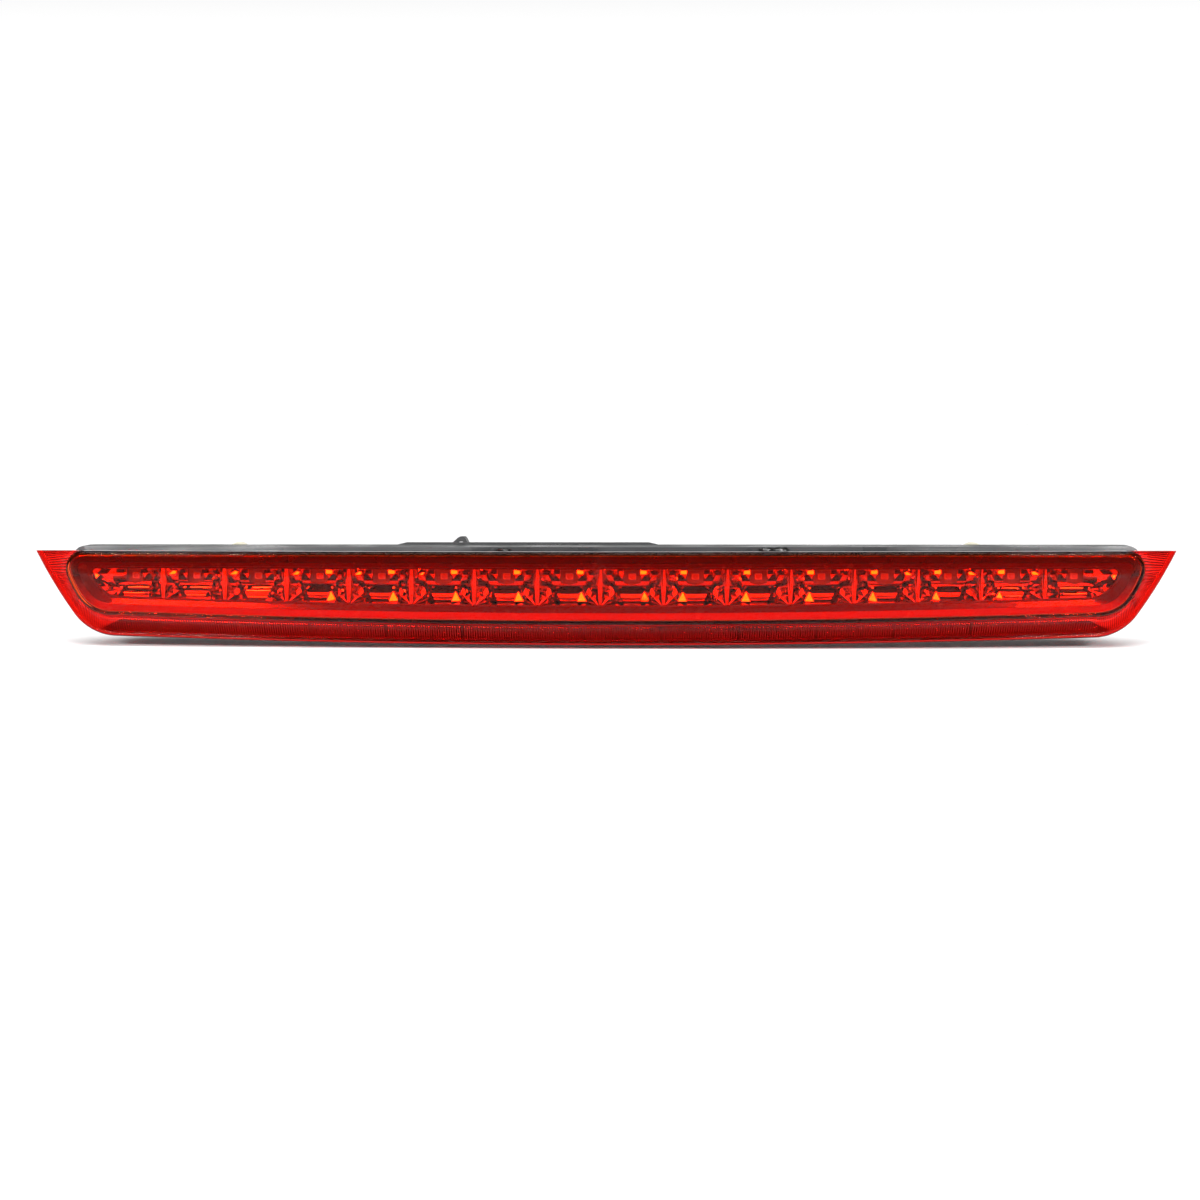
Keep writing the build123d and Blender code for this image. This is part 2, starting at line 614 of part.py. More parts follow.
# Each inner wire leaves its pin's tail, runs along the cavity in one lane and turns into the header.
header_back_y = at_depth(HEADER_X, SOLDERED_AT) + HEADER_SIZE[1] + SOLDER_GAP
wires = [
    ("supply_wire", pin_places[0], HEADER_X - HEADER_PITCH / 2, WIRE_LANES_Y[0]),
    ("ground_wire", pin_places[1], HEADER_X + HEADER_PITCH / 2, WIRE_LANES_Y[1]),
]
for name, (pin_x, pin_z), header_x, lane_y in wires:
    with BuildPart() as wire:
        with BuildLine() as route:
            FilletPolyline(
                (pin_x, PIN_TAIL_Y, pin_z),
                (pin_x, lane_y, pin_z),
                (header_x, lane_y, HEADER_Z),
                (header_x, header_back_y, HEADER_Z),
                radius=WIRE_BEND,
            )
        with BuildSketch(Plane(origin=route.line @ 0, z_dir=route.line % 0)):
            Circle(WIRE_RADIUS)
        sweep()
    length = sum(edge.length for edge in route.edges())
    swept = math.pi * WIRE_RADIUS**2 * length
    print(f"{name}: length {length:.1f}, bends {WIRE_BEND}, volume {wire.part.volume:.1f}/{swept:.1f}")
    save(wire.part, name)

# --- studs and spacers ------------------------------------------------------------------------

for (x, z), side in zip(stud_places, ("left", "right")):
    with BuildPart() as stud:
        with BuildSketch(upright(STUD_END_Y)):
            with Locations((x, z)):
                Circle(STUD_RADIUS)
        extrude(amount=STUD_END_Y - STUD_HEAD_BACK_Y)
        chamfer(stud.edges().sort_by(Axis.Y)[-1], length=STUD_TIP_CHAMFER)
        with BuildSketch(upright(STUD_SHANK_END_Y)):
            with Locations((x, z)):
                Circle(STUD_SHANK_RADIUS)
        extrude(amount=STUD_SHANK_END_Y - STUD_HEAD_BACK_Y)
        with BuildSketch(upright(STUD_HEAD_BACK_Y)):
            with Locations((x, z)):
                Circle(STUD_HEAD_RADIUS)
        extrude(amount=STUD_HEAD_THICKNESS)
    save(stud.part, f"stud_{side}")

    with BuildPart() as spacer:
        with BuildSketch(upright(BACK_Y + SPACER_THICKNESS)):
            with Locations((x, z)):
                Circle(SPACER_RADIUS)
                Circle(STUD_SHANK_RADIUS + 0.1, mode=Mode.SUBTRACT)
        extrude(amount=SPACER_THICKNESS)
    save(spacer.part, f"stud_spacer_{side}")

# --- foam seals and vent ----------------------------------------------------------------------


def foam_strip(x_range, z_range):
    """A strip of foam on the housing's back wall, as thick as the gap to the body panel."""
    middle = (sum(x_range) / 2, -SEAT_GAP / 2, sum(z_range) / 2)
    with BuildPart(mode=Mode.PRIVATE) as strip:
        with Locations(middle):
            Box(x_range[1] - x_range[0], SEAT_GAP, z_range[1] - z_range[0])
    return strip.part


for number, x_range in enumerate(UPPER_FOAM_X, start=1):
    save(foam_strip(x_range, UPPER_FOAM_Z), f"upper_foam_{number}")
save(foam_strip((-LOWER_FOAM_HALF_WIDTH, LOWER_FOAM_HALF_WIDTH), LOWER_FOAM_Z), "lower_foam")
save(foam_strip((-END_FOAM_X[1], -END_FOAM_X[0]), END_FOAM_Z), "end_foam_left")
save(foam_strip(END_FOAM_X, END_FOAM_Z), "end_foam_right")

# A soft strip behind the lens's lower flange keeps it off the paint.
with BuildPart() as edge_seal:
    add(
        bowed_layer(
            lens_outline(-EDGE_SEAL_INSETS[0]),
            *EDGE_SEAL_DEPTHS,
            lens_outline(-EDGE_SEAL_INSETS[1]),
        )
    )
    with BuildSketch(Plane.XZ.offset(-OVERSIZE / 2)):
        with BuildLine():
            Polyline(
                (-EDGE_SEAL_LOW_X, EDGE_SEAL_TRIM_Z[0]),
                (EDGE_SEAL_LOW_X, EDGE_SEAL_TRIM_Z[0]),
                (EDGE_SEAL_HIGH_X, EDGE_SEAL_TRIM_Z[1]),
                (-EDGE_SEAL_HIGH_X, EDGE_SEAL_TRIM_Z[1]),
                close=True,
            )
        make_face()
    extrude(amount=OVERSIZE, mode=Mode.INTERSECT)
save(edge_seal.part, "edge_seal")

with BuildPart() as vent_membrane:
    with BuildSketch(upright(BACK_Y + VENT_MEMBRANE_THICKNESS)):
        with Locations(VENT_PLACE):
            Circle(VENT_CAP_RADIUS - 1.2)
    extrude(amount=VENT_MEMBRANE_THICKNESS)
save(vent_membrane.part, "vent_membrane")

with BuildPart() as vent_cap:
    with BuildSketch(upright(BACK_Y + VENT_CAP_HEIGHT)):
        with Locations(VENT_PLACE):
            Circle(VENT_CAP_RADIUS)
    extrude(amount=VENT_CAP_HEIGHT)
    fillet(vent_cap.edges().sort_by(Axis.Y)[-1], radius=0.8)
    with BuildSketch(upright(BACK_Y + VENT_MEMBRANE_THICKNESS)):
        with Locations(VENT_PLACE):
            Circle(VENT_CAP_RADIUS - 1.2)
    extrude(amount=VENT_MEMBRANE_THICKNESS, mode=Mode.SUBTRACT)
save(vent_cap.part, "vent_cap")
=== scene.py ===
"""Looks of the third brake light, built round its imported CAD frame.

Shapes are worked out in millimetres in the row's frame: +X right seen from behind the car, +Y into
the car, +Z up, with the lens facing -Y. "Depth" is the distance behind the lens's bowed front.
"""

import math

import bmesh
import bpy
from mathutils import Matrix, Vector, noise


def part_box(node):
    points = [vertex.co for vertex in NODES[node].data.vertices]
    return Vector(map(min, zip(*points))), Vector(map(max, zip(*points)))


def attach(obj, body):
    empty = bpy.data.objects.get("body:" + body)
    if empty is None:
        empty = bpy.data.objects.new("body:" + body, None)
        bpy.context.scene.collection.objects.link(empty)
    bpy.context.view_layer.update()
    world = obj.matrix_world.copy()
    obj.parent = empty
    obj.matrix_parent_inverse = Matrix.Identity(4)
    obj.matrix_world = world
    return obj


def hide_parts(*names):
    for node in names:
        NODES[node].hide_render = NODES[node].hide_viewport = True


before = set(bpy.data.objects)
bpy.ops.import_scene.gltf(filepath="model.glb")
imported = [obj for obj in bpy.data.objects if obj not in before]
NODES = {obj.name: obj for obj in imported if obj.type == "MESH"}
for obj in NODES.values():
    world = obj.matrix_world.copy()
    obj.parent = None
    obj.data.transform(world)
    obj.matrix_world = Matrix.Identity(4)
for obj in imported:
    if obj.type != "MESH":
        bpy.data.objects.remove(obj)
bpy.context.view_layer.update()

MM = 0.001

# --- sizes shared with the CAD ----------------------------------------------------------------

BOW_RADIUS = 3500.0
FRONT_Y = -44.0
BOTTOM_RADIUS = 6900.0
LED_PITCH = 27.7
LED_COUNT = 16
LED_Z = -7.4
LED_PLACES = [(i - (LED_COUNT - 1) / 2) * LED_PITCH for i in range(LED_COUNT)]
BOARD_DEPTH = 12.4
FLOOR_Z = -38.8

# --- shared geometry --------------------------------------------------------------------------


def bow(x):
    """How far the bowed front falls back at this distance from the middle."""
    return BOW_RADIUS - math.sqrt(BOW_RADIUS**2 - x**2)


def circle_through(a, b, c):
    """Centre and radius of the circle through three points of a plane."""
    ab, ac = b - a, c - a
    turn = 2 * (ab.x * ac.y - ab.y * ac.x)
    ux = (ac.y * ab.length_squared - ab.y * ac.length_squared) / turn
    uy = (ab.x * ac.length_squared - ac.x * ab.length_squared) / turn
    return a + Vector((ux, uy)), Vector((ux, uy)).length


def right_crossing(centre_a, radius_a, centre_b, radius_b):
    """The right-hand one of the two points where two circles cross."""
    gap = centre_b - centre_a
    along = (radius_a**2 - radius_b**2 + gap.length_squared) / (2 * gap.length)
    across = Vector((gap.y, -gap.x)).normalized() * math.sqrt(radius_a**2 - along**2)
    middle = centre_a + gap.normalized() * along
    return max(middle + across, middle - across, key=lambda point: point.x)


def arc(centre, radius, start, end, steps):
    """Points on an arc between two angles, the last one left out."""
    angles = [start + (end - start) * i / steps for i in range(steps)]
    return [centre + Vector((math.cos(a), math.sin(a))) * radius for a in angles]


def angle_of(vector):
    return math.atan2(vector.y, vector.x)


def outline(top, side, foot, bottom, top_corner, foot_corner, grow, steps=(1, 10, 10, 14, 8)):
    """The right half of a front outline, as lists of points: top, corner, side, foot and bottom.

    It follows the CAD's outlines: a straight top, bowed slanting sides and a gently arched bottom.
    """
    side_centre, side_radius = circle_through(Vector(top), Vector(side), Vector(foot))
    side_radius += grow
    low_centre = Vector((0.0, bottom + BOTTOM_RADIUS))
    low_radius = BOTTOM_RADIUS + grow
    top_z = top[1] + grow
    corner = top_corner + grow if top_corner else 0.0
    foot_radius = foot_corner + grow
    corner_z = top_z - corner
    reach = math.sqrt((side_radius - corner) ** 2 - (corner_z - side_centre.y) ** 2)
    corner_centre = Vector((side_centre.x + reach, corner_z))
    foot_centre = right_crossing(
        low_centre, low_radius - foot_radius, side_centre, side_radius - foot_radius
    )
    up = math.pi / 2
    side_start = angle_of(corner_centre - side_centre)
    side_end = angle_of(foot_centre - side_centre)
    low_start = angle_of(foot_centre - low_centre)
    n_top, n_corner, n_side, n_foot, n_low = steps
    return [
        [Vector((corner_centre.x * i / n_top, top_z)) for i in range(n_top)],
        arc(corner_centre, corner, up, side_start, n_corner) if corner else [],
        arc(side_centre, side_radius, side_start, side_end, n_side),
        arc(foot_centre, foot_radius, side_end, low_start, n_foot),
        arc(low_centre, low_radius, low_start, -up, n_low) + [Vector((0.0, bottom - grow))],
    ]


def closed(segments):
    """The whole outline as one closed loop of points, from the right half's segments."""
    right = [point for segment in segments for point in segment]
    left = [Vector((-point.x, point.y)) for point in reversed(right[1:-1])]
    return right + left


LENS = ((251.4, 4.0), (243.8, -10.0), (227.2, -33.6), -37.3, 0.0, 24.0)
CUP = ((239.2, 4.0), (236.0, -9.3), (225.5, -24.3), -28.0, 8.0, 18.0)
WINDOW = ((227.5, -3.8), (223.6, -10.6), (216.0, -16.1), -19.5, 2.6, 12.0)


def cup_loop(grow):
    return closed(outline(*CUP, grow))


def window_loop(grow):
    return closed(outline(*WINDOW, grow))


def ring(bm, loop, depth):
    """Adds a loop's points as vertices at one depth, in the unbowed space (x, depth, z)."""
    return [bm.verts.new((point.x, depth, point.y)) for point in loop]


def bridge(bm, first, second):
    """Faces between two closed rings of vertices."""
    count = len(first)
    for i in range(count):
        j = (i + 1) % count
        bm.faces.new((first[i], first[j], second[j], second[i]))


def chain(bm, rings, cap_first=True, cap_last=True):
    for first, second in zip(rings, rings[1:]):
        bridge(bm, first, second)
    if cap_first:
        bm.faces.new(rings[0])
    if cap_last:
        bm.faces.new(rings[-1])


def slice_along(bm, places):
    """Cuts every face at these x, so that the bow can bend it."""
    for x in places:
        everything = bm.verts[:] + bm.edges[:] + bm.faces[:]
        bmesh.ops.bisect_plane(bm, geom=everything, plane_co=(x, 0, 0), plane_no=(1, 0, 0))


def even_slices(step=6.0, reach=240.0):
    count = int(reach / step)
    return [i * step for i in range(-count, count + 1)]


def bend_to_bow(bm):
    """Moves vertices from the unbowed space (x, depth, z) to their real place."""
    for vert in bm.verts:
        vert.co.y += FRONT_Y + bow(vert.co.x)


# --- pieces and materials ---------------------------------------------------------------------


def as_object(bm, name, smooth_angle=35.0):
    """Makes an object from a mesh in millimetres, shaded smooth except at its sharp edges."""
    bmesh.ops.recalc_face_normals(bm, faces=bm.faces[:])
    bmesh.ops.scale(bm, vec=(MM, MM, MM), verts=bm.verts[:])
    mesh = bpy.data.meshes.new(name)
    bm.to_mesh(mesh)
    bm.free()
    mesh.shade_smooth()
    mesh.set_sharp_from_angle(angle=math.radians(smooth_angle))
    piece = bpy.data.objects.new(name, mesh)
    bpy.context.scene.collection.objects.link(piece)
    return piece


def wear(piece, material):
    """Gives a piece one material."""
    piece.data.materials.clear()
    piece.data.materials.append(material)
    for polygon in piece.data.polygons:
        polygon.material_index = 0


def stand_for(piece, material, slot, *nodes):
    """Finishes a piece: its material, and the CAD nodes that it stands for. The slot is not used."""
    wear(piece, material)
    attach(piece, "root")
    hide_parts(*nodes)


def rounded(piece, width, segments=2, angle=30.0, weld=False):
    """Rounds a piece's sharp edges by this many millimetres."""
    if weld:
        join = piece.modifiers.new("join", "WELD")
        join.merge_threshold = 0.002 * MM
    edge = piece.modifiers.new("edges", "BEVEL")
    edge.width = width * MM
    edge.segments = segments
    edge.limit_method = "ANGLE"
    edge.angle_limit = math.radians(angle)
    edge.harden_normals = True


class Look:
    """A node material, with short calls for what its colour, roughness and bump come from."""

    def __init__(self, name, colour, roughness, **sockets):
        self.material = bpy.data.materials.new(name)
        self.material.use_nodes = True
        self.tree = self.material.node_tree
        self.shader = self.tree.nodes["Principled BSDF"]
        self.shader.inputs["Base Color"].default_value = (*colour, 1.0)
        self.shader.inputs["Roughness"].default_value = roughness
        self.colour = colour
        self.roughness = roughness
        for socket, value in sockets.items():
            self.shader.inputs[socket.replace("_", " ")].default_value = value
        self.place = self.tree.nodes.new("ShaderNodeTexCoord").outputs["Object"]

    def node(self, kind, **values):
        node = self.tree.nodes.new(kind)
        for name, value in values.items():
            setattr(node, name, value)
        return node

    def link(self, source, target):
        self.tree.links.new(source, target)

    def noise(self, per_mm, detail=3.0, stretch=None):
        """A noise, from 0 to 1, with this many cells to the millimetre."""
        node = self.node("ShaderNodeTexNoise")
        node.inputs["Scale"].default_value = per_mm / MM
        node.inputs["Detail"].default_value = detail
        if stretch:
            mapping = self.node("ShaderNodeMapping")
            mapping.inputs["Scale"].default_value = stretch
            self.link(self.place, mapping.inputs["Vector"])
            self.link(mapping.outputs["Vector"], node.inputs["Vector"])
        else:
            self.link(self.place, node.inputs["Vector"])
        return node.outputs["Fac"]

    def cells(self, per_mm):
        """Distance to the nearest point of a scatter with this many cells to the millimetre."""
        node = self.node("ShaderNodeTexVoronoi")
        node.inputs["Scale"].default_value = per_mm / MM
        self.link(self.place, node.inputs["Vector"])
        return node.outputs["Distance"]

    def attribute(self, name):
        return self.node("ShaderNodeAttribute", attribute_name=name).outputs["Fac"]

    def height(self, start, end):
        """From 0 to 1 between two heights in millimetres."""
        split = self.node("ShaderNodeSeparateXYZ")
        self.link(self.place, split.inputs[0])
        return self.ramp(split.outputs["Z"], 0.0, 1.0, start * MM, end * MM)

    def ramp(self, source, low, high, start=0.3, end=0.7):
        """Maps a value between start and end to one between low and high."""
        node = self.node("ShaderNodeMapRange")
        node.inputs["From Min"].default_value = start
        node.inputs["From Max"].default_value = end
        node.inputs["To Min"].default_value = low
        node.inputs["To Max"].default_value = high
        self.link(source, node.inputs["Value"])
        return node.outputs["Result"]

    def vary_colour(self, source, other, start=0.35, end=0.65):
        """Blends from the look's own colour to another as the source rises."""
        node = self.node("ShaderNodeMix", data_type="RGBA")
        node.inputs[6].default_value = (*self.colour, 1.0)
        node.inputs[7].default_value = (*other, 1.0)
        self.link(self.ramp(source, 0.0, 1.0, start, end), node.inputs[0])
        self.link(node.outputs[2], self.shader.inputs["Base Color"])

    def vary_roughness(self, source, low, high):
        self.link(self.ramp(source, low, high), self.shader.inputs["Roughness"])

    def bump(self, source, height, strength=1.0):
        """Raises the surface by a noise, by up to this many millimetres."""
        node = self.node("ShaderNodeBump")
        node.inputs["Distance"].default_value = height * MM
        node.inputs["Strength"].default_value = strength
        self.link(source, node.inputs["Height"])
        self.link(node.outputs["Normal"], self.shader.inputs["Normal"])


def make_looks():
    """All the materials, by name."""
    looks = {}

    deep_red = (0.40, 0.003, 0.002)
    for name, tint in (("lens_cup", (0.92, 0.08, 0.010)), ("lens_flange", (0.80, 0.008, 0.004))):
        lens = Look(f"red_acrylic_{name}", tint, 0.01, IOR=1.49, Transmission_Weight=1.0)
        lens.shader.inputs["Specular Tint"].default_value = (0.16, 0.16, 0.16, 1.0)
        lens.vary_roughness(lens.noise(0.02, 5.0), 0.0, 0.015)
        lens.bump(lens.noise(0.012, 2.0), 0.01, 0.15)
        looks[name] = lens
    # the flange's colour deepens with its thickness, from the flutes' valleys to their ridges
    flange = looks["lens_flange"]
    flange.vary_colour(flange.attribute("thickness"), deep_red, 0.1, 0.9)

    # both parts of the bezel get brighter from their top to their bottom: painted shade at the top,
    # painted light at the bottom
    # (name, painted-shade colour at the top, painted-light colour at the bottom)
    for name, high, low in (
        ("bezel", (0.070, 0.003, 0.002), (0.15, 0.005, 0.003)),
        ("bezel_edge", (0.028, 0.003, 0.002), (0.42, 0.008, 0.005)),
    ):
        bezel = Look(f"red_plastic_painted_light_and_shade_{name}", high, 0.22, Coat_Weight=0.4)
        bezel.vary_colour(bezel.height(-6.0, -22.0), low, 0.0, 1.0)
        bezel.vary_roughness(bezel.noise(0.2, 4.0), 0.16, 0.3)
        bezel.bump(bezel.noise(1.2, 3.0), 0.01, 0.3)
        looks[name] = bezel

    chrome = Look("metallised_reflector", (0.70, 0.70, 0.71), 0.03, Metallic=1.0)
    chrome.vary_colour(chrome.noise(0.08, 5.0), (0.60, 0.60, 0.61))
    chrome.vary_roughness(chrome.noise(0.6, 5.0), 0.015, 0.05)
    chrome.bump(chrome.noise(0.25, 2.0), 0.01, 0.25)
    looks["chrome"] = chrome

    package = Look("led_package_white", (0.95, 0.94, 0.90), 0.4)
    package.vary_colour(package.noise(0.9, 4.0), (0.85, 0.84, 0.80))
    package.bump(package.noise(6.0, 3.0), 0.01, 0.4)
    looks["package"] = package

    resin = Look("led_clear_resin", (0.96, 0.88, 0.84), 0.08, IOR=1.5, Transmission_Weight=0.15)
    resin.vary_roughness(resin.noise(2.0, 3.0), 0.05, 0.12)
    resin.bump(resin.noise(1.0, 2.0), 0.01, 0.3)
    looks["resin"] = resin

    lead = Look("tinned_lead", (0.75, 0.74, 0.70), 0.28, Metallic=1.0)
    lead.vary_roughness(lead.noise(3.0, 4.0), 0.2, 0.42)
    lead.bump(lead.noise(5.0, 3.0), 0.01, 0.4)
    looks["lead"] = lead

    board = Look("white_solder_mask", (0.40, 0.40, 0.38), 0.32, Coat_Weight=0.3)
    board.vary_colour(board.noise(0.25, 1.0, (0.3, 1.0, 3.0)), (0.33, 0.34, 0.32), 0.48, 0.52)
    board.bump(board.noise(0.25, 1.0, (0.3, 1.0, 3.0)), 0.03, 0.5)
    looks["board"] = board

    chip = Look("moulded_epoxy", (0.02, 0.02, 0.022), 0.5)
    chip.vary_colour(chip.noise(1.5, 4.0), (0.035, 0.035, 0.035))
    chip.bump(chip.noise(8.0, 3.0), 0.01, 0.5)
    looks["chip"] = chip

    nylon = Look("natural_nylon", (0.46, 0.44, 0.35), 0.38, Subsurface_Weight=0.3)
    nylon.shader.inputs["Subsurface Radius"].default_value = (0.9 * MM, 0.8 * MM, 0.6 * MM)
    nylon.vary_colour(nylon.noise(0.4, 4.0), (0.38, 0.36, 0.28))
    nylon.bump(nylon.noise(2.5, 4.0), 0.015, 0.4)
    looks["nylon"] = nylon

    housing = Look("glossy_black_abs", (0.02, 0.021, 0.022), 0.3, IOR=1.35)
    housing.vary_colour(housing.noise(0.03, 5.0), (0.032, 0.033, 0.035))
    housing.vary_roughness(housing.noise(0.05, 6.0), 0.22, 0.4)
    housing.bump(housing.noise(0.08, 3.0), 0.03, 0.35)
    looks["housing"] = housing

    grain = Look("grained_black_plastic", (0.02, 0.02, 0.021), 0.42)
    grain.vary_colour(grain.noise(0.1, 5.0), (0.03, 0.03, 0.031))
    grain.vary_roughness(grain.noise(0.3, 4.0), 0.34, 0.52)
    grain.bump(grain.cells(2.2), 0.03, 0.5)
    looks["grain"] = grain

    glue = Look("cured_black_sealant", (0.008, 0.008, 0.008), 0.16)
    glue.vary_roughness(glue.noise(0.15, 4.0), 0.1, 0.3)
    glue.bump(glue.noise(0.35, 3.0), 0.2, 0.6)
    looks["glue"] = glue

    rubber = Look("grey_silicone", (0.05, 0.05, 0.052), 0.55)
    rubber.vary_colour(rubber.noise(0.4, 4.0), (0.075, 0.075, 0.075))
    rubber.bump(rubber.noise(3.0, 3.0), 0.02, 0.4)
    looks["rubber"] = rubber

    foam = Look("black_foam", (0.018, 0.018, 0.019), 0.9, Sheen_Weight=0.15)
    foam.vary_colour(foam.cells(1.6), (0.045, 0.045, 0.046), 0.1, 0.6)
    foam.bump(foam.cells(1.6), 0.18, 0.8)
    looks["foam"] = foam

    soft = Look("charcoal_foam", (0.045, 0.042, 0.04), 0.9, Sheen_Weight=0.15)
    soft.vary_colour(soft.cells(1.6), (0.085, 0.082, 0.08), 0.1, 0.6)
    soft.bump(soft.cells(1.6), 0.18, 0.8)
    looks["soft"] = soft

    zinc = Look("zinc_plated_steel", (0.62, 0.63, 0.62), 0.3, Metallic=1.0)
    zinc.vary_colour(zinc.noise(0.5, 5.0), (0.52, 0.53, 0.50))
    zinc.vary_roughness(zinc.noise(1.5, 5.0), 0.22, 0.45)
    zinc.bump(zinc.noise(4.0, 4.0), 0.01, 0.4)
    looks["zinc"] = zinc

    brass = Look("tin_plated_brass", (0.80, 0.72, 0.50), 0.24, Metallic=1.0)
    brass.vary_colour(brass.noise(1.0, 4.0), (0.72, 0.66, 0.5))
    brass.vary_roughness(brass.noise(3.0, 4.0, (1.0, 0.15, 1.0)), 0.16, 0.36)
    brass.bump(brass.noise(5.0, 3.0, (1.0, 0.1, 1.0)), 0.005, 0.4)
    looks["brass"] = brass

    for name, colour, other in (
        ("wire_red", (0.55, 0.02, 0.015), (0.42, 0.015, 0.012)),
        ("wire_black", (0.018, 0.018, 0.018), (0.03, 0.03, 0.03)),
    ):
        wire = Look(f"pvc_{name}", colour, 0.36)
        wire.vary_colour(wire.noise(0.6, 4.0), other)
        wire.bump(wire.noise(2.5, 3.0), 0.01, 0.4)
        looks[name] = wire

    membrane = Look("white_vent_film", (0.85, 0.85, 0.83), 0.75)
    membrane.vary_colour(membrane.cells(5.0), (0.7, 0.7, 0.68), 0.0, 0.5)
    membrane.bump(membrane.cells(5.0), 0.02, 0.6)
    looks["membrane"] = membrane

    return {name: look.material for name, look in looks.items()}


LOOKS = make_looks()

# --- camera -----------------------------------------------------------------------------------

CAMERA_TARGET = Vector((0.08, -44.0, -16.87))
CAMERA_DISTANCE = 1000.0
CAMERA_YAW = math.radians(2.264)
CAMERA_PITCH = math.radians(4.5)
CAMERA_ROLL = math.radians(-0.1)
CAMERA_SENSOR = 36.0
CAMERA_LENS = 68.83


def make_camera():
    looking = Vector(
        (
            -math.sin(CAMERA_YAW) * math.cos(CAMERA_PITCH),
            math.cos(CAMERA_YAW) * math.cos(CAMERA_PITCH),
            -math.sin(CAMERA_PITCH),
        )
    )
    data = bpy.data.cameras.new("camera")
    data.sensor_width = CAMERA_SENSOR
    data.lens = CAMERA_LENS
    camera = bpy.data.objects.new("camera", data)
    camera.location = (CAMERA_TARGET - looking * CAMERA_DISTANCE) * MM
    turn = looking.to_track_quat("-Z", "Y").to_matrix() @ Matrix.Rotation(CAMERA_ROLL, 3, "Z")
    camera.rotation_euler = turn.to_euler()
    bpy.context.scene.collection.objects.link(camera)
    bpy.context.scene.camera = camera


make_camera()

# --- lens: the cup ----------------------------------------------------------------------------

LENS_WALL = 2.5
SKIRT_WALL = 1.7
SKIRT_END = 12.0
SKIRT_MIDDLE = 7.0
CUP_EDGE = 1.5
INNER_EDGE = 0.7


def add_cup(bm):
    """The raised cup as one closed shell: skirt, rounded edge, bowed front, and its inside."""
    arc_steps = [math.radians(90 * i / 6) for i in range(7)]
    outer = [(0.0, SKIRT_END), (0.0, SKIRT_MIDDLE)]
    outer += [(-CUP_EDGE * (1 - math.cos(a)), CUP_EDGE * (1 - math.sin(a))) for a in arc_steps]
    inner = [
        (-SKIRT_WALL - INNER_EDGE * (1 - math.cos(a)), LENS_WALL + INNER_EDGE * (1 - math.sin(a)))
        for a in reversed(arc_steps)
    ]
    inner += [(-SKIRT_WALL, SKIRT_END)]
    rings = [ring(bm, cup_loop(grow), depth) for grow, depth in outer + inner]
    front = len(outer) - 1
    for i in range(len(rings)):
        if i != front:
            bridge(bm, rings[i], rings[(i + 1) % len(rings)])
    bm.faces.new(rings[front])
    bm.faces.new(rings[front + 1])
    slice_along(bm, even_slices())


# --- lens: the fluted flange and its rim --------------------------------------------------------

FLUTE_PITCH = 1.05
FLUTE_SAMPLES = 6
FLUTE_HEIGHT = 0.42
FLANGE_FRONT = 3.5
FLANGE_BACK = 5.95
ROOT_GAP = 0.04
# the rim's section: (distance in from the outer edge, depth)
RIM_FRONT_SIDE = [(2.5, 3.5), (2.0, 3.4), (1.75, 3.0), (1.4, 2.82), (0.8, 2.8), (0.3, 2.95)]
RIM_EDGE = [(0.05, 3.3), (0.0, 3.9), (0.0, 5.2), (0.25, 5.75), (0.8, 5.95)]


def flange_paths():
    """Matching points along the flange's outer edge and its root, a sixth of a flute apart."""
    fine = (1, 200, 400, 500, 2500)
    outer_parts = outline(*LENS, 0.0, steps=fine)
    root_parts = outline(*CUP, ROOT_GAP, steps=fine)
    outer_right = [outer_parts[2], outer_parts[3], outer_parts[4]]
    root_right = [root_parts[1] + root_parts[2], root_parts[3], root_parts[4]]
    outer, root = [], []
    travelled = 0.0
    last = None
    for outer_part, root_part in zip(outer_right, root_right):
        for i, point in enumerate(outer_part):
            if last is not None:
                travelled += (point - last).length
            last = point
            place = i / max(len(outer_part) - 1, 1) * (len(root_part) - 1)
            low = int(place)
            high = min(low + 1, len(root_part) - 1)
            outer.append((travelled, point))
            root.append(root_part[low].lerp(root_part[high], place - low))
    step = FLUTE_PITCH / FLUTE_SAMPLES
    picked = []
    goal = 0.0
    for (reached, point), root_point in zip(outer, root):
        if reached >= goal:
            picked.append((point, root_point, len(picked) % FLUTE_SAMPLES / FLUTE_SAMPLES))
            goal += step
    mirrored = [(Vector((-a.x, a.y)), Vector((-b.x, b.y)), p) for a, b, p in reversed(picked)]
    return picked + mirrored[1:]


def add_flange(bm):
    """The thin flange: smooth in front, fluted behind, with a rim bead along its free edge."""
    thickness = bm.verts.layers.float.new("thickness")
    sections = []
    for outer, root, phase in flange_paths():
        inward = (root - outer).normalized()
        width = (root - outer).length
        wave = FLUTE_HEIGHT * 4 * phase * (1 - phase)
        flat = [(width, FLANGE_FRONT)]
        behind = [
            (1.9, FLANGE_BACK),
            (2.3, FLANGE_BACK - wave),
            (width - 0.8, FLANGE_BACK - wave),
            (width - 0.3, FLANGE_BACK),
            (width, FLANGE_BACK),
        ]
        section = []
        for inset, depth in flat + RIM_FRONT_SIDE + RIM_EDGE + behind:
            point = outer + inward * inset
            vert = bm.verts.new((point.x, depth, point.y))
            vert[thickness] = 1 - 4 * phase * (1 - phase) if inset > 1.8 else 0.5
            section.append(vert)
        sections.append(section)
    for first, second in zip(sections, sections[1:]):
        bridge(bm, first, second)
    bm.faces.new(sections[0])
    bm.faces.new(sections[-1])


def make_lens():
    for name, add in (("lens_cup", add_cup), ("lens_flange", add_flange)):
        bm = bmesh.new()
        add(bm)
        bend_to_bow(bm)
        piece = as_object(bm, name, 40.0)
        stand_for(piece, LOOKS[name], "red_lens", "outer_lens")


make_lens()

# --- bezel ------------------------------------------------------------------------------------

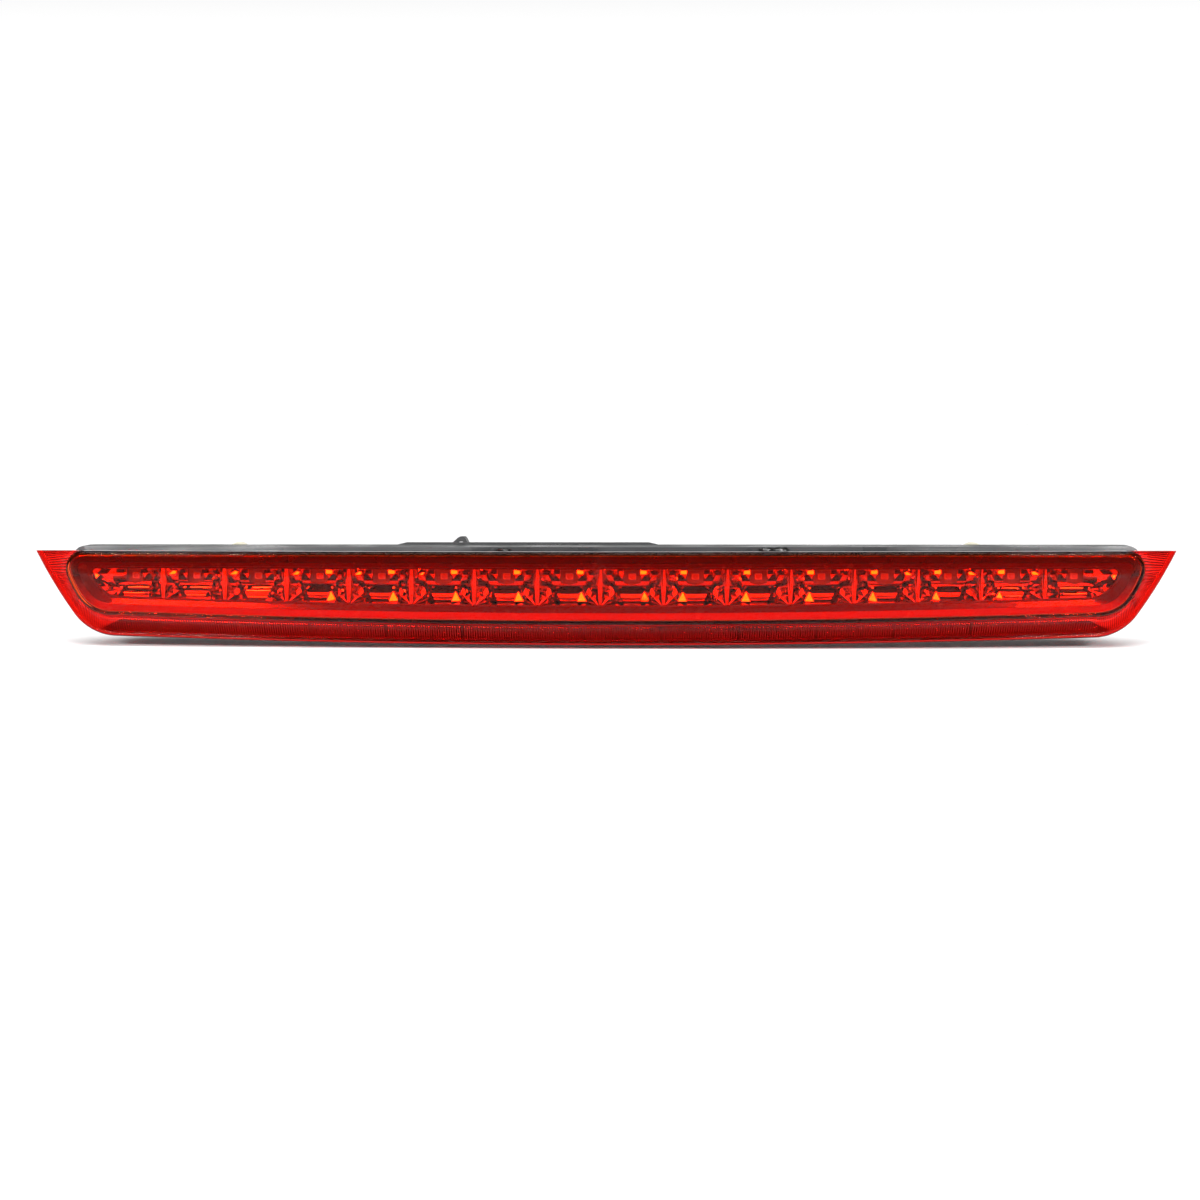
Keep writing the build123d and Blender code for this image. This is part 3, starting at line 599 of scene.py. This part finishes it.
# each corner of a section: the loop that it follows, how far outside it, and its depth
BEZEL_FACE = [
    (window_loop, 0.0, 4.55),
    (window_loop, 0.0, 4.1),
    (window_loop, 0.3, 3.85),
    (window_loop, 0.7, 3.85),
    (window_loop, 1.0, 4.15),
    (cup_loop, -5.2, 3.65),
    (cup_loop, -4.9, 4.55),
]
BEZEL_EDGE = [
    (cup_loop, -5.1, 4.5),
    (cup_loop, -5.1, 3.75),
    (cup_loop, -4.7, 3.6),
    (cup_loop, -2.5, 2.85),
    (cup_loop, -2.1, 2.9),
    (cup_loop, -1.9, 3.3),
    (cup_loop, -1.9, 4.5),
]


def make_bezel():
    """The red frame round the cells: a dished face with a lip at the window, and a sloping edge."""
    for name, look, section in (
        ("window_bezel", "bezel", BEZEL_FACE),
        ("bezel_edge", "bezel_edge", BEZEL_EDGE),
    ):
        bm = bmesh.new()
        rings = [ring(bm, loop(grow), depth) for loop, grow, depth in section]
        for first, second in zip(rings, rings[1:] + rings[:1]):
            bridge(bm, first, second)
        slice_along(bm, even_slices())
        bend_to_bow(bm)
        piece = as_object(bm, name, 25.0)
        stand_for(piece, LOOKS[look], "red_bezel", "inner_bezel")


make_bezel()

# --- reflector --------------------------------------------------------------------------------

CELL_HALF = 13.2
CELL_TOP = -3.5
MOUTH_DEPTH = 4.6
PANEL_DEPTH = 9.0
SIDE_LINE = 7.75  # half width of the panel round the LED, where the side facets meet it
PANEL_BOTTOM = -9.2
FOLD_Z = -13.4
FOLD_DEPTH = 11.0
LOWEST_BOTTOM = -19.7
SCOOP = [(0.2, -0.1), (0.4, -0.5), (0.57, -1.2), (0.72, -2.2), (0.85, -3.5), (0.94, -5.0)]
FIRST_SCOOP_POINT = 4  # along a cell's profile, after its mouth, top, shoulder and waist
# the corners of the small facets in each side: (x, z, how much deeper than the flat side)
SIDE_POINTS = {
    "upper": (11.6, -6.4, 0.7),
    "elbow": (12.0, -10.4, -0.3),
    "hollow": (8.6, -12.2, 0.9),
    "brace": (12.1, -15.0, 0.5),
    "low": (9.4, -16.2, -0.8),
}
FACET_STEPS = (0.5, -0.4, 0.3, -0.55, 0.4)
# two raised facets beside each LED throw the light of a side strip to the front: their corners
# (x, z), their depth at the first corner, and how fast they fall back outwards and upwards
BROW = ([(3.8, -5.9), (6.4, -5.9), (6.4, -4.2), (3.8, -4.2)], 5.0)
WEDGE = ([(3.8, -17.9), (7.5, -17.9), (5.4, -13.9)], 6.9)
GLINT_SLOPE = (0.369, 0.199)
POCKET_HALF = 3.7
POCKET_TOP = -4.1
POCKET_LIP = -10.0
POCKET_POINT = -10.9
BOARD_FACE = 12.2
END_EXTRA = 6.0


def cell_side(depth):
    """How far from the cell's middle its side facet lies at this depth."""
    fall = (CELL_HALF - SIDE_LINE) / (PANEL_DEPTH - MOUTH_DEPTH)
    return CELL_HALF - (depth - MOUTH_DEPTH) * fall


def cell_side_depth(x):
    """The depth of the side facet at this distance from the cell's middle."""
    fall = (CELL_HALF - SIDE_LINE) / (PANEL_DEPTH - MOUTH_DEPTH)
    return MOUTH_DEPTH + (CELL_HALF - x) / fall


def broken_up(bm, faces):
    """Breaks facets into smaller ones by raising or sinking a point in the middle of each."""
    made = bmesh.ops.poke(bm, faces=faces)["verts"]
    for i, vert in enumerate(made):
        vert.co.y += FACET_STEPS[i % len(FACET_STEPS)]


def groove_depth(z):
    share = (PANEL_BOTTOM - z) / (PANEL_BOTTOM - FOLD_Z)
    return PANEL_DEPTH + (FOLD_DEPTH - PANEL_DEPTH) * share


def add_cell(bm, middle, bottom):
    """One faceted cell, open at the front and at its LED pocket. Returns its mouth and pocket."""
    outer_side = math.copysign(1, middle) if abs(middle) == max(LED_PLACES) else 0

    def vert(x, depth, z):
        if outer_side and x * outer_side > SIDE_LINE - 3:
            x += outer_side * END_EXTRA * (abs(x) - SIDE_LINE + 3) / (CELL_HALF - SIDE_LINE + 3)
        return bm.verts.new((middle + x, depth, z))

    scoop = [
        (FOLD_Z + (bottom - FOLD_Z) * share, FOLD_DEPTH + rise) for share, rise in SCOOP
    ]
    profile = [(CELL_TOP, MOUTH_DEPTH), (CELL_TOP - 0.3, PANEL_DEPTH), (PANEL_BOTTOM, PANEL_DEPTH)]
    profile += [(FOLD_Z, FOLD_DEPTH)] + scoop + [(bottom, MOUTH_DEPTH)]
    edges = {
        side: [vert(side * cell_side(depth), depth, z) for z, depth in profile]
        for side in (-1, 1)
    }
    left, right = edges[-1], edges[1]
    for side, edge in edges.items():
        share = (bottom - LOWEST_BOTTOM) / (FOLD_Z - LOWEST_BOTTOM)
        inner = {
            name: vert(side * x, cell_side_depth(x) + lift, z + (z < FOLD_Z) * share * (FOLD_Z - z))
            for name, (x, z, lift) in SIDE_POINTS.items()
        }
        top, shoulder, waist, foot, bottom_corner = edge[1], edge[2], edge[3], edge[7], edge[-1]
        upper = inner["upper"]
        elbow = inner["elbow"]
        hollow = inner["hollow"]
        brace = inner["brace"]
        low = inner["low"]
        facets = (
            (edge[0], top, upper),
            (top, shoulder, upper),
            (shoulder, elbow, upper),
            (shoulder, hollow, elbow),
            (shoulder, waist, hollow),
            (edge[0], upper, elbow),
            (edge[0], elbow, brace, bottom_corner),
            (elbow, hollow, brace),
            (hollow, waist, low),
            (hollow, low, brace),
            (brace, low, bottom_corner),
            (waist, *edge[4:7], foot, low),
            (foot, *edge[8:], low),
        )
        broken_up(bm, [bm.faces.new(corners) for corners in facets])
    bm.faces.new((left[0], right[0], right[1], left[1]))
    for i in range(FIRST_SCOOP_POINT, len(profile) - 1):
        bm.faces.new((left[i], right[i], right[i + 1], left[i + 1]))

    # round the pocket
    lip_depth, point_depth = groove_depth(POCKET_LIP), groove_depth(POCKET_POINT)
    mouth = {
        side: [
            vert(side * POCKET_HALF, PANEL_DEPTH, POCKET_TOP),
            vert(side * POCKET_HALF, PANEL_DEPTH, PANEL_BOTTOM),
            vert(side * POCKET_HALF, lip_depth, POCKET_LIP),
        ]
        for side in (-1, 1)
    }
    point = vert(0, point_depth, POCKET_POINT)
    back = {
        side: [
            vert(side * POCKET_HALF, BOARD_FACE, POCKET_TOP),
            vert(side * POCKET_HALF, BOARD_FACE, PANEL_BOTTOM),
            vert(side * POCKET_HALF, BOARD_FACE, POCKET_LIP),
        ]
        for side in (-1, 1)
    }
    back_point = vert(0, BOARD_FACE, POCKET_POINT)
    fold_in = {side: vert(side * POCKET_HALF, FOLD_DEPTH, FOLD_Z) for side in (-1, 1)}
    bm.faces.new((left[1], right[1], mouth[1][0], mouth[-1][0]))
    for side, edge in edges.items():
        broken_up(bm, [bm.faces.new((edge[1], mouth[side][0], mouth[side][1], edge[2]))])
        for corners, depth in (BROW, WEDGE):
            first_x, first_z = corners[0]
            front = []
            for x, z in corners:
                outward_fall = GLINT_SLOPE[0] * (x - first_x)
                upward_fall = GLINT_SLOPE[1] * (z - first_z)
                front.append(vert(side * x, depth + outward_fall + upward_fall, z))
            behind = [vert(side * x, PANEL_DEPTH + 0.4, z) for x, z in corners]
            chain(bm, [front, behind])
        bm.faces.new((edge[2], mouth[side][1], mouth[side][2], fold_in[side], edge[3]))
        for i in (0, 1):
            bm.faces.new((mouth[side][i], mouth[side][i + 1], back[side][i + 1], back[side][i]))
        bm.faces.new((mouth[side][2], point, back_point, back[side][2]))
    bm.faces.new((mouth[-1][2], point, mouth[1][2], fold_in[1], fold_in[-1]))
    bm.faces.new((mouth[-1][0], mouth[1][0], back[1][0], back[-1][0]))
    bm.faces.new((edges[-1][3], fold_in[-1], fold_in[1], edges[1][3], right[4], left[4]))
    mouth_ring = [left[0], right[0], right[-1], left[-1]]
    pocket_ring = [*back[-1], back_point, *reversed(back[1])]
    return mouth_ring, pocket_ring


def ring_edges(bm, verts):
    pairs = zip(verts, verts[1:] + verts[:1])
    return [bm.edges.get(pair) or bm.edges.new(pair) for pair in pairs]


def window_bottom(x):
    """The window's lower edge at this distance from the middle."""
    return WINDOW[3] + BOTTOM_RADIUS - math.sqrt(BOTTOM_RADIUS**2 - x**2)


def make_reflector():
    bm = bmesh.new()
    outer = closed(outline(*WINDOW, 3.0, steps=(1, 8, 8, 12, 8)))
    front_edges = ring_edges(bm, ring(bm, outer, MOUTH_DEPTH))
    back_edges = ring_edges(bm, ring(bm, outer, BOARD_FACE))
    front_ring = [edge.verts[0] for edge in front_edges]
    back_ring = [edge.verts[0] for edge in back_edges]
    bridge(bm, front_ring, back_ring)
    for middle in LED_PLACES:
        mouth, pocket = add_cell(bm, middle, window_bottom(middle) - 0.2)
        front_edges += ring_edges(bm, mouth)
        back_edges += ring_edges(bm, pocket)
    bmesh.ops.triangle_fill(bm, edges=front_edges, use_dissolve=False)
    bmesh.ops.triangle_fill(bm, edges=back_edges, use_dissolve=False)
    dividers = [(i - LED_COUNT / 2) * LED_PITCH for i in range(1, LED_COUNT)]
    slice_along(bm, sorted(dividers + LED_PLACES))
    bend_to_bow(bm)
    piece = as_object(bm, "reflector_cells", 20.0)
    rounded(piece, 0.12, 2, 18.0)
    stand_for(piece, LOOKS["chrome"], "reflector_metallised", "reflector")


make_reflector()

# --- LED packages -----------------------------------------------------------------------------

LED_WIDTH = 3.5
LED_THICK = 1.1
LED_HEIGHT = 2.8


def disc(bm, radius, depth, count=24):
    return [
        bm.verts.new(
            (
                radius * math.cos(2 * math.pi * i / count),
                depth,
                radius * math.sin(2 * math.pi * i / count),
            )
        )
        for i in range(count)
    ]


def rounded_rectangle(bm, width, height, corner, depth, count=24):
    """A ring of vertices round a rectangle, in step with a disc's."""
    verts = []
    for i in range(count):
        a = 2 * math.pi * i / count
        c, s = math.cos(a), math.sin(a)
        scale = max(abs(c) / (width / 2), abs(s) / (height / 2))
        point = Vector((c / scale, s / scale))
        limit = Vector((width / 2 - corner, height / 2 - corner))
        inner = Vector(
            (max(-limit.x, min(limit.x, point.x)), max(-limit.y, min(limit.y, point.y)))
        )
        out = point - inner
        if out.length > 0:
            point = inner + out.normalized() * min(out.length, corner)
        verts.append(bm.verts.new((point.x, depth, point.y)))
    return verts


def box_into(bm, centre, size):
    """A plain block used inside a detailed piece."""
    made = bmesh.ops.create_cube(bm, size=1.0)["verts"]
    bmesh.ops.scale(bm, vec=size, verts=made)
    bmesh.ops.translate(bm, vec=centre, verts=made)
    return made


def led_mesh():
    """A top-view LED: chamfered body with a round well, clear resin, a die, and four leads."""
    bm = bmesh.new()
    chain(
        bm,
        [
            rounded_rectangle(bm, LED_WIDTH - 0.2, LED_HEIGHT - 0.2, 0.2, LED_THICK),
            rounded_rectangle(bm, LED_WIDTH, LED_HEIGHT, 0.2, LED_THICK * 0.55),
            rounded_rectangle(bm, LED_WIDTH - 0.16, LED_HEIGHT - 0.16, 0.2, 0.08),
            rounded_rectangle(bm, LED_WIDTH - 0.3, LED_HEIGHT - 0.3, 0.2, 0.0),
            disc(bm, 1.2, 0.0),
            disc(bm, 1.12, 0.05),
            disc(bm, 0.8, 0.6),
        ],
    )
    body_faces = len(bm.faces)
    chain(bm, [disc(bm, 0.78, 0.55), disc(bm, 1.1, 0.1), disc(bm, 0.9, 0.06)])
    resin_faces = len(bm.faces)
    box_into(bm, (0, 0.5, 0), (0.5, 0.12, 0.5))
    for x in (-1, 1):
        for z in (-1, 1):
            lead_x = x * (LED_WIDTH / 2 - 0.06)
            box_into(bm, (lead_x, LED_THICK * 0.8, z * 0.75), (0.12, LED_THICK * 0.35, 0.7))
    for i, face in enumerate(bm.faces):
        face.material_index = 0 if i < body_faces else 1 if i < resin_faces else 2
    bmesh.ops.recalc_face_normals(bm, faces=bm.faces[:])
    return bm


def make_leds():
    for number, x in enumerate(LED_PLACES, start=1):
        bm = led_mesh()
        lean = math.asin(x / BOW_RADIUS)
        bmesh.ops.rotate(bm, matrix=Matrix.Rotation(lean, 3, "Z"), verts=bm.verts[:])
        y = FRONT_Y + bow(x) + BOARD_DEPTH - LED_THICK
        bmesh.ops.translate(bm, vec=(x, y, LED_Z), verts=bm.verts[:])
        piece = as_object(bm, f"led_package_{number:02d}")
        for name in ("package", "resin", "lead"):
            piece.data.materials.append(LOOKS[name])
        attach(piece, "root")
        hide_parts(f"led_{number:02d}")


make_leds()

# --- carried-over CAD nodes -------------------------------------------------------------------

CARRIED = {
    "led_board": "board",
    "polarity_diode": "chip",
    "current_regulator": "chip",
    "board_header": "nylon",
    "sealant_bead": "glue",
    "housing": "housing",
    "wiring_cover": "grain",
    "connector_socket": "grain",
    "connector_seal": "rubber",
    "supply_pin": "brass",
    "ground_pin": "brass",
    "supply_wire": "wire_red",
    "ground_wire": "wire_black",
    "edge_seal": "soft",
    "vent_membrane": "membrane",
    "vent_cap": "grain",
}
CARRIED.update({f"resistor_{number}": "chip" for number in range(1, 9)})
EDGES = {"housing": 0.35, "wiring_cover": 0.35, "connector_socket": 0.25, "vent_cap": 0.2}


def dress_cad_nodes():
    for node, look in CARRIED.items():
        wear(NODES[node], LOOKS[look])
        if node in EDGES:
            rounded(NODES[node], EDGES[node], 3, 30.0, weld=True)


dress_cad_nodes()

# --- screws and studs -------------------------------------------------------------------------

SCREW_HEAD_RADIUS = 2.8
SCREW_HEAD_HEIGHT = 1.4
SCREW_RADIUS = 1.5


def lathe(bm, profile, steps=32):
    """Turns a profile of (radius, distance along +Y) round the Y axis, closed at both ends."""
    chain(bm, [disc(bm, radius, y, steps) for radius, y in profile])


def add_thread(bm, radius, depth, pitch, start, end, steps=24, per_turn=6):
    """A threaded rod along Y, with its ends tapered."""
    rows = int((end - start) / pitch * per_turn)
    rings = []
    for j in range(rows + 1):
        y = start + (end - start) * j / rows
        fade = min(1.0, (end - y) / pitch, (y - start) / pitch)
        verts = []
        for i in range(steps):
            turn = i / steps
            wave = abs(((y / pitch - turn) % 1.0) * 2 - 1)
            r = radius - depth * (1 - wave * max(fade, 0.0)) - 0.35 * max(0.0, 1 - (end - y) / pitch)
            a = 2 * math.pi * turn
            verts.append(bm.verts.new((r * math.cos(a), y, r * math.sin(a))))
        rings.append(verts)
    chain(bm, rings)


def screw_mesh(length):
    """A pan-head screw with a cross recess, head towards +Y and seat at y 0."""
    bm = bmesh.new()
    head = [
        (0.6, 0.0), (SCREW_HEAD_RADIUS - 0.15, 0.0), (SCREW_HEAD_RADIUS, 0.2),
        (SCREW_HEAD_RADIUS - 0.05, 0.7), (SCREW_HEAD_RADIUS - 0.35, 1.1),
        (SCREW_HEAD_RADIUS - 1.0, 1.33), (0.9, SCREW_HEAD_HEIGHT),
    ]
    lathe(bm, head)
    add_thread(bm, SCREW_RADIUS, 0.28, 1.2, -length, 0.3, 16, 5)
    mesh = bpy.data.meshes.new("screw")
    bm.to_mesh(mesh)
    bm.free()
    screw = bpy.data.objects.new("screw", mesh)
    bpy.context.scene.collection.objects.link(screw)

    tool = bmesh.new()
    for turn in (0, 1):
        made = box_into(tool, (0, 1.2, 0), (3.0, 1.7, 0.62))
        for vert in made:
            if vert.co.y < 1.2:
                vert.co.x *= 0.35
                vert.co.z *= 0.7
        bmesh.ops.rotate(tool, matrix=Matrix.Rotation(turn * math.pi / 2, 3, "Y"), verts=made)
    tool_mesh = bpy.data.meshes.new("recess")
    tool.to_mesh(tool_mesh)
    tool.free()
    recess = bpy.data.objects.new("recess", tool_mesh)
    bpy.context.scene.collection.objects.link(recess)
    cut = screw.modifiers.new("recess", "BOOLEAN")
    cut.operation = "DIFFERENCE"
    cut.object = recess
    cut.use_self = True
    bpy.context.view_layer.update()
    made = bpy.data.meshes.new_from_object(
        screw.evaluated_get(bpy.context.evaluated_depsgraph_get())
    )
    bpy.data.objects.remove(screw)
    bpy.data.objects.remove(recess)
    return made


def make_screws(name, places, node):
    """places: (x, seat y, z, length) of each screw."""
    bm = bmesh.new()
    for i, (x, y, z, length) in enumerate(places):
        part = bmesh.new()
        part.from_mesh(screw_mesh(length))
        part.transform(Matrix.Translation((x, y, z)) @ Matrix.Rotation(0.7 * i + 0.3, 4, "Y"))
        copy = bpy.data.meshes.new("copy")
        part.to_mesh(copy)
        part.free()
        bm.from_mesh(copy)
    piece = as_object(bm, name, 35.0)
    stand_for(piece, LOOKS["zinc"], "screw_steel", node)


# how far each kind of screw reaches past its seat, and where the seats lie
BACK_SCREW_LENGTH = 6.9
BOARD_SCREW_LENGTH = 6.6
COVER_SEAT_Y = -1.5
SOCKET_SEAT_Y = 1.3
SOCKET_X = -65.7
SOCKET_Z = -1.7
BOARD_BACK = 14.0
BOARD_SCREW_Z = -15.5
COVER_SCREWS = [
    (x, COVER_SEAT_Y, z, BACK_SCREW_LENGTH) for x in (-89.4, 20.6) for z in (-12.0, 1.2)
]
SOCKET_SCREWS = [
    (SOCKET_X + x, SOCKET_SEAT_Y, SOCKET_Z, BACK_SCREW_LENGTH) for x in (-14.5, 14.5)
]
BOARD_SCREWS = [
    (
        cell * LED_PITCH,
        FRONT_Y + bow(abs(cell) * LED_PITCH + SCREW_HEAD_RADIUS) + BOARD_BACK,
        BOARD_SCREW_Z,
        BOARD_SCREW_LENGTH,
    )
    for cell in (-7, -4, -1, 1, 4, 7)
]
make_screws("cover_screw_group", COVER_SCREWS, "cover_screws")
make_screws("socket_screw_group", SOCKET_SCREWS, "socket_screws")
make_screws("board_screw_group", BOARD_SCREWS, "board_screws")

STUD_X = 166.0


def make_studs():
    for side, x in (("left", -STUD_X), ("right", STUD_X)):
        bm = bmesh.new()
        lathe(
            bm,
            [(4.0, -12.0), (4.3, -11.7), (4.3, -9.3), (4.0, -9.0), (3.3, -9.0), (3.3, -0.35),
             (3.15, -0.2)],
            40,
        )
        add_thread(bm, 3.0, 0.55, 1.0, -0.3, 18.0, 28, 8)
        bmesh.ops.translate(bm, vec=(x, 0, 0), verts=bm.verts[:])
        piece = as_object(bm, f"threaded_stud_{side}", 50.0)
        stand_for(piece, LOOKS["zinc"], "zinc_steel", f"stud_{side}")

        bm = bmesh.new()
        section = [
            (3.4, -4.0), (5.9, -4.0), (6.2, -3.75), (6.2, -2.6), (6.05, -2.45), (6.05, -2.0),
            (6.2, -1.85), (6.2, -0.65), (5.9, -0.4), (3.6, -0.4), (3.4, -0.6),
        ]
        rings = [disc(bm, radius, y, 48) for radius, y in section]
        for first, second in zip(rings, rings[1:] + rings[:1]):
            bridge(bm, first, second)
        bmesh.ops.translate(bm, vec=(x, 0, 0), verts=bm.verts[:])
        piece = as_object(bm, f"nylon_spacer_{side}", 30.0)
        stand_for(piece, LOOKS["nylon"], "spacer_nylon", f"stud_spacer_{side}")


make_studs()

# --- foam strips ------------------------------------------------------------------------------


def make_foam(node):
    """A strip of foam with soft, slightly uneven edges, in its CAD node's place."""
    low, high = (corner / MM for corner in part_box(node))
    size = high - low
    counts = [max(2, round(size.x / 2.5)), 4, max(3, round(size.z / 1.6))]
    bm = bmesh.new()
    made = bmesh.ops.create_cube(bm, size=1.0)["verts"]
    bmesh.ops.scale(bm, vec=size, verts=made)
    bmesh.ops.translate(bm, vec=(low + high) / 2, verts=made)
    for axis, count in enumerate(counts):
        normal = Vector((0, 0, 0))
        normal[axis] = 1
        for i in range(1, count):
            place = low.copy()
            place[axis] += size[axis] * i / count
            everything = bm.verts[:] + bm.edges[:] + bm.faces[:]
            bmesh.ops.bisect_plane(bm, geom=everything, plane_co=place, plane_no=normal)
    middle = (low + high) / 2
    for vert in bm.verts:
        wave = noise.noise(vert.co * 0.35) + 0.5 * noise.noise(vert.co * 1.1)
        at_corner = sum(
            abs(abs(vert.co[axis] - middle[axis]) - size[axis] / 2) < 1e-3 for axis in range(3)
        )
        pull = 0.08 + 0.07 * wave + 0.3 * max(0, at_corner - 1)
        for axis in (0, 2):
            if abs(abs(vert.co[axis] - middle[axis]) - size[axis] / 2) < 1e-3:
                vert.co[axis] += math.copysign(pull, middle[axis] - vert.co[axis])
        if at_corner > 1 and abs(vert.co.y - high.y) < 1e-3:
            vert.co.y -= 0.25
    piece = as_object(bm, f"{node}_strip", 60.0)
    stand_for(piece, LOOKS["foam"], "foam_black", node)


for foam_node in ["upper_foam_1", "upper_foam_2", "upper_foam_3", "upper_foam_4", "lower_foam",
                  "end_foam_left", "end_foam_right"]:
    make_foam(foam_node)

# --- sealant squeezed out along the top -------------------------------------------------------

BLOBS = [(69.0, 76.5, 1.0), (75.0, 83.0, 1.15), (-46.5, -40.0, 0.8)]


def make_blobs():
    for number, (start, end, height) in enumerate(BLOBS, start=1):
        bm = bmesh.new()
        bmesh.ops.create_uvsphere(bm, u_segments=28, v_segments=16, radius=1.0)
        half = (end - start) / 2
        for vert in bm.verts:
            wobble = 1 + 0.25 * noise.noise(vert.co * 1.7 + Vector((number * 3.1, 0, 0)))
            x = vert.co.x * half * wobble
            middle_x = (start + end) / 2
            vert.co = (
                middle_x + x,
                FRONT_Y + bow(middle_x + x) + 13.2 + vert.co.y * 2.2 * wobble,
                4.35 + vert.co.z * height * wobble,
            )
        piece = as_object(bm, f"sealant_squeeze_{number}")
        wear(piece, LOOKS["glue"])
        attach(piece, "root")


make_blobs()

# --- floor, world and lights ------------------------------------------------------------------

FLOOR_HALF_SIZE = 40000.0
# the key is a sun, so its strength is in W/m2; a strip's place and size are in metres
KEY_TOWARDS = (0.0, -0.75, 1.18)
KEY_SPREAD = math.radians(60)
KEY_STRENGTH = 4.2
STRIP_PLACE = (0.72, -1.2, 0.42)
STRIP_SIZE = (0.5, 0.12)
STRIP_POWER = 16.0


def make_floor():
    bm = bmesh.new()
    bmesh.ops.create_grid(bm, x_segments=1, y_segments=1, size=FLOOR_HALF_SIZE)
    bmesh.ops.translate(bm, vec=(0, 0, FLOOR_Z), verts=bm.verts[:])
    floor = as_object(bm, "floor")
    wear(floor, Look("pale_floor", (0.92, 0.92, 0.92), 0.7).material)


def make_world():
    """White behind the lamp and low down all round it, and dim overhead and in front."""
    world = bpy.data.worlds.new("studio")
    world.use_nodes = True
    bpy.context.scene.world = world
    tree = world.node_tree
    background = tree.nodes["Background"]
    background.inputs["Color"].default_value = (1.0, 1.0, 1.0, 1.0)
    place = tree.nodes.new("ShaderNodeTexCoord").outputs["Generated"]
    split = tree.nodes.new("ShaderNodeSeparateXYZ")
    tree.links.new(place, split.inputs[0])
    lower = tree.nodes.new("ShaderNodeMath")
    lower.operation = "MULTIPLY_ADD"
    lower.inputs[1].default_value = -0.1
    tree.links.new(split.outputs["Y"], lower.inputs[0])
    tree.links.new(split.outputs["Z"], lower.inputs[2])
    fade = tree.nodes.new("ShaderNodeMapRange")
    fade.interpolation_type = "SMOOTHSTEP"
    fade.inputs["From Min"].default_value = 0.05
    fade.inputs["From Max"].default_value = 0.2
    fade.inputs["To Min"].default_value = 1.05
    fade.inputs["To Max"].default_value = 0.08
    tree.links.new(lower.outputs["Value"], fade.inputs["Value"])
    tree.links.new(fade.outputs["Result"], background.inputs["Strength"])


def make_key(towards, spread, strength):
    """A wide soft light from one direction, equally strong over the whole floor."""
    data = bpy.data.lights.new("key", "SUN")
    data.angle = spread
    data.energy = strength
    light = bpy.data.objects.new("key", data)
    light.rotation_euler = Vector(towards).to_track_quat("Z", "Y").to_euler()
    bpy.context.scene.collection.objects.link(light)


def make_light(name, place, aim, size, power):
    data = bpy.data.lights.new(name, "AREA")
    data.shape = "RECTANGLE"
    data.size, data.size_y = size
    data.energy = power
    light = bpy.data.objects.new(name, data)
    light.location = place
    light.rotation_euler = (Vector(aim) - Vector(place)).to_track_quat("-Z", "Y").to_euler()
    bpy.context.scene.collection.objects.link(light)


make_floor()
make_world()
make_key(KEY_TOWARDS, KEY_SPREAD, KEY_STRENGTH)
for side in (-1, 1):
    place = (STRIP_PLACE[0] * side, STRIP_PLACE[1], STRIP_PLACE[2])
    make_light(f"glint_strip_{side}", place, (0, 0, 0), STRIP_SIZE, STRIP_POWER)
bpy.context.scene.view_settings.view_transform = "Standard"
# the strips' reflections in the cells keep their full strength, so that they burn out
bpy.context.scene.cycles.sample_clamp_indirect = 0.0
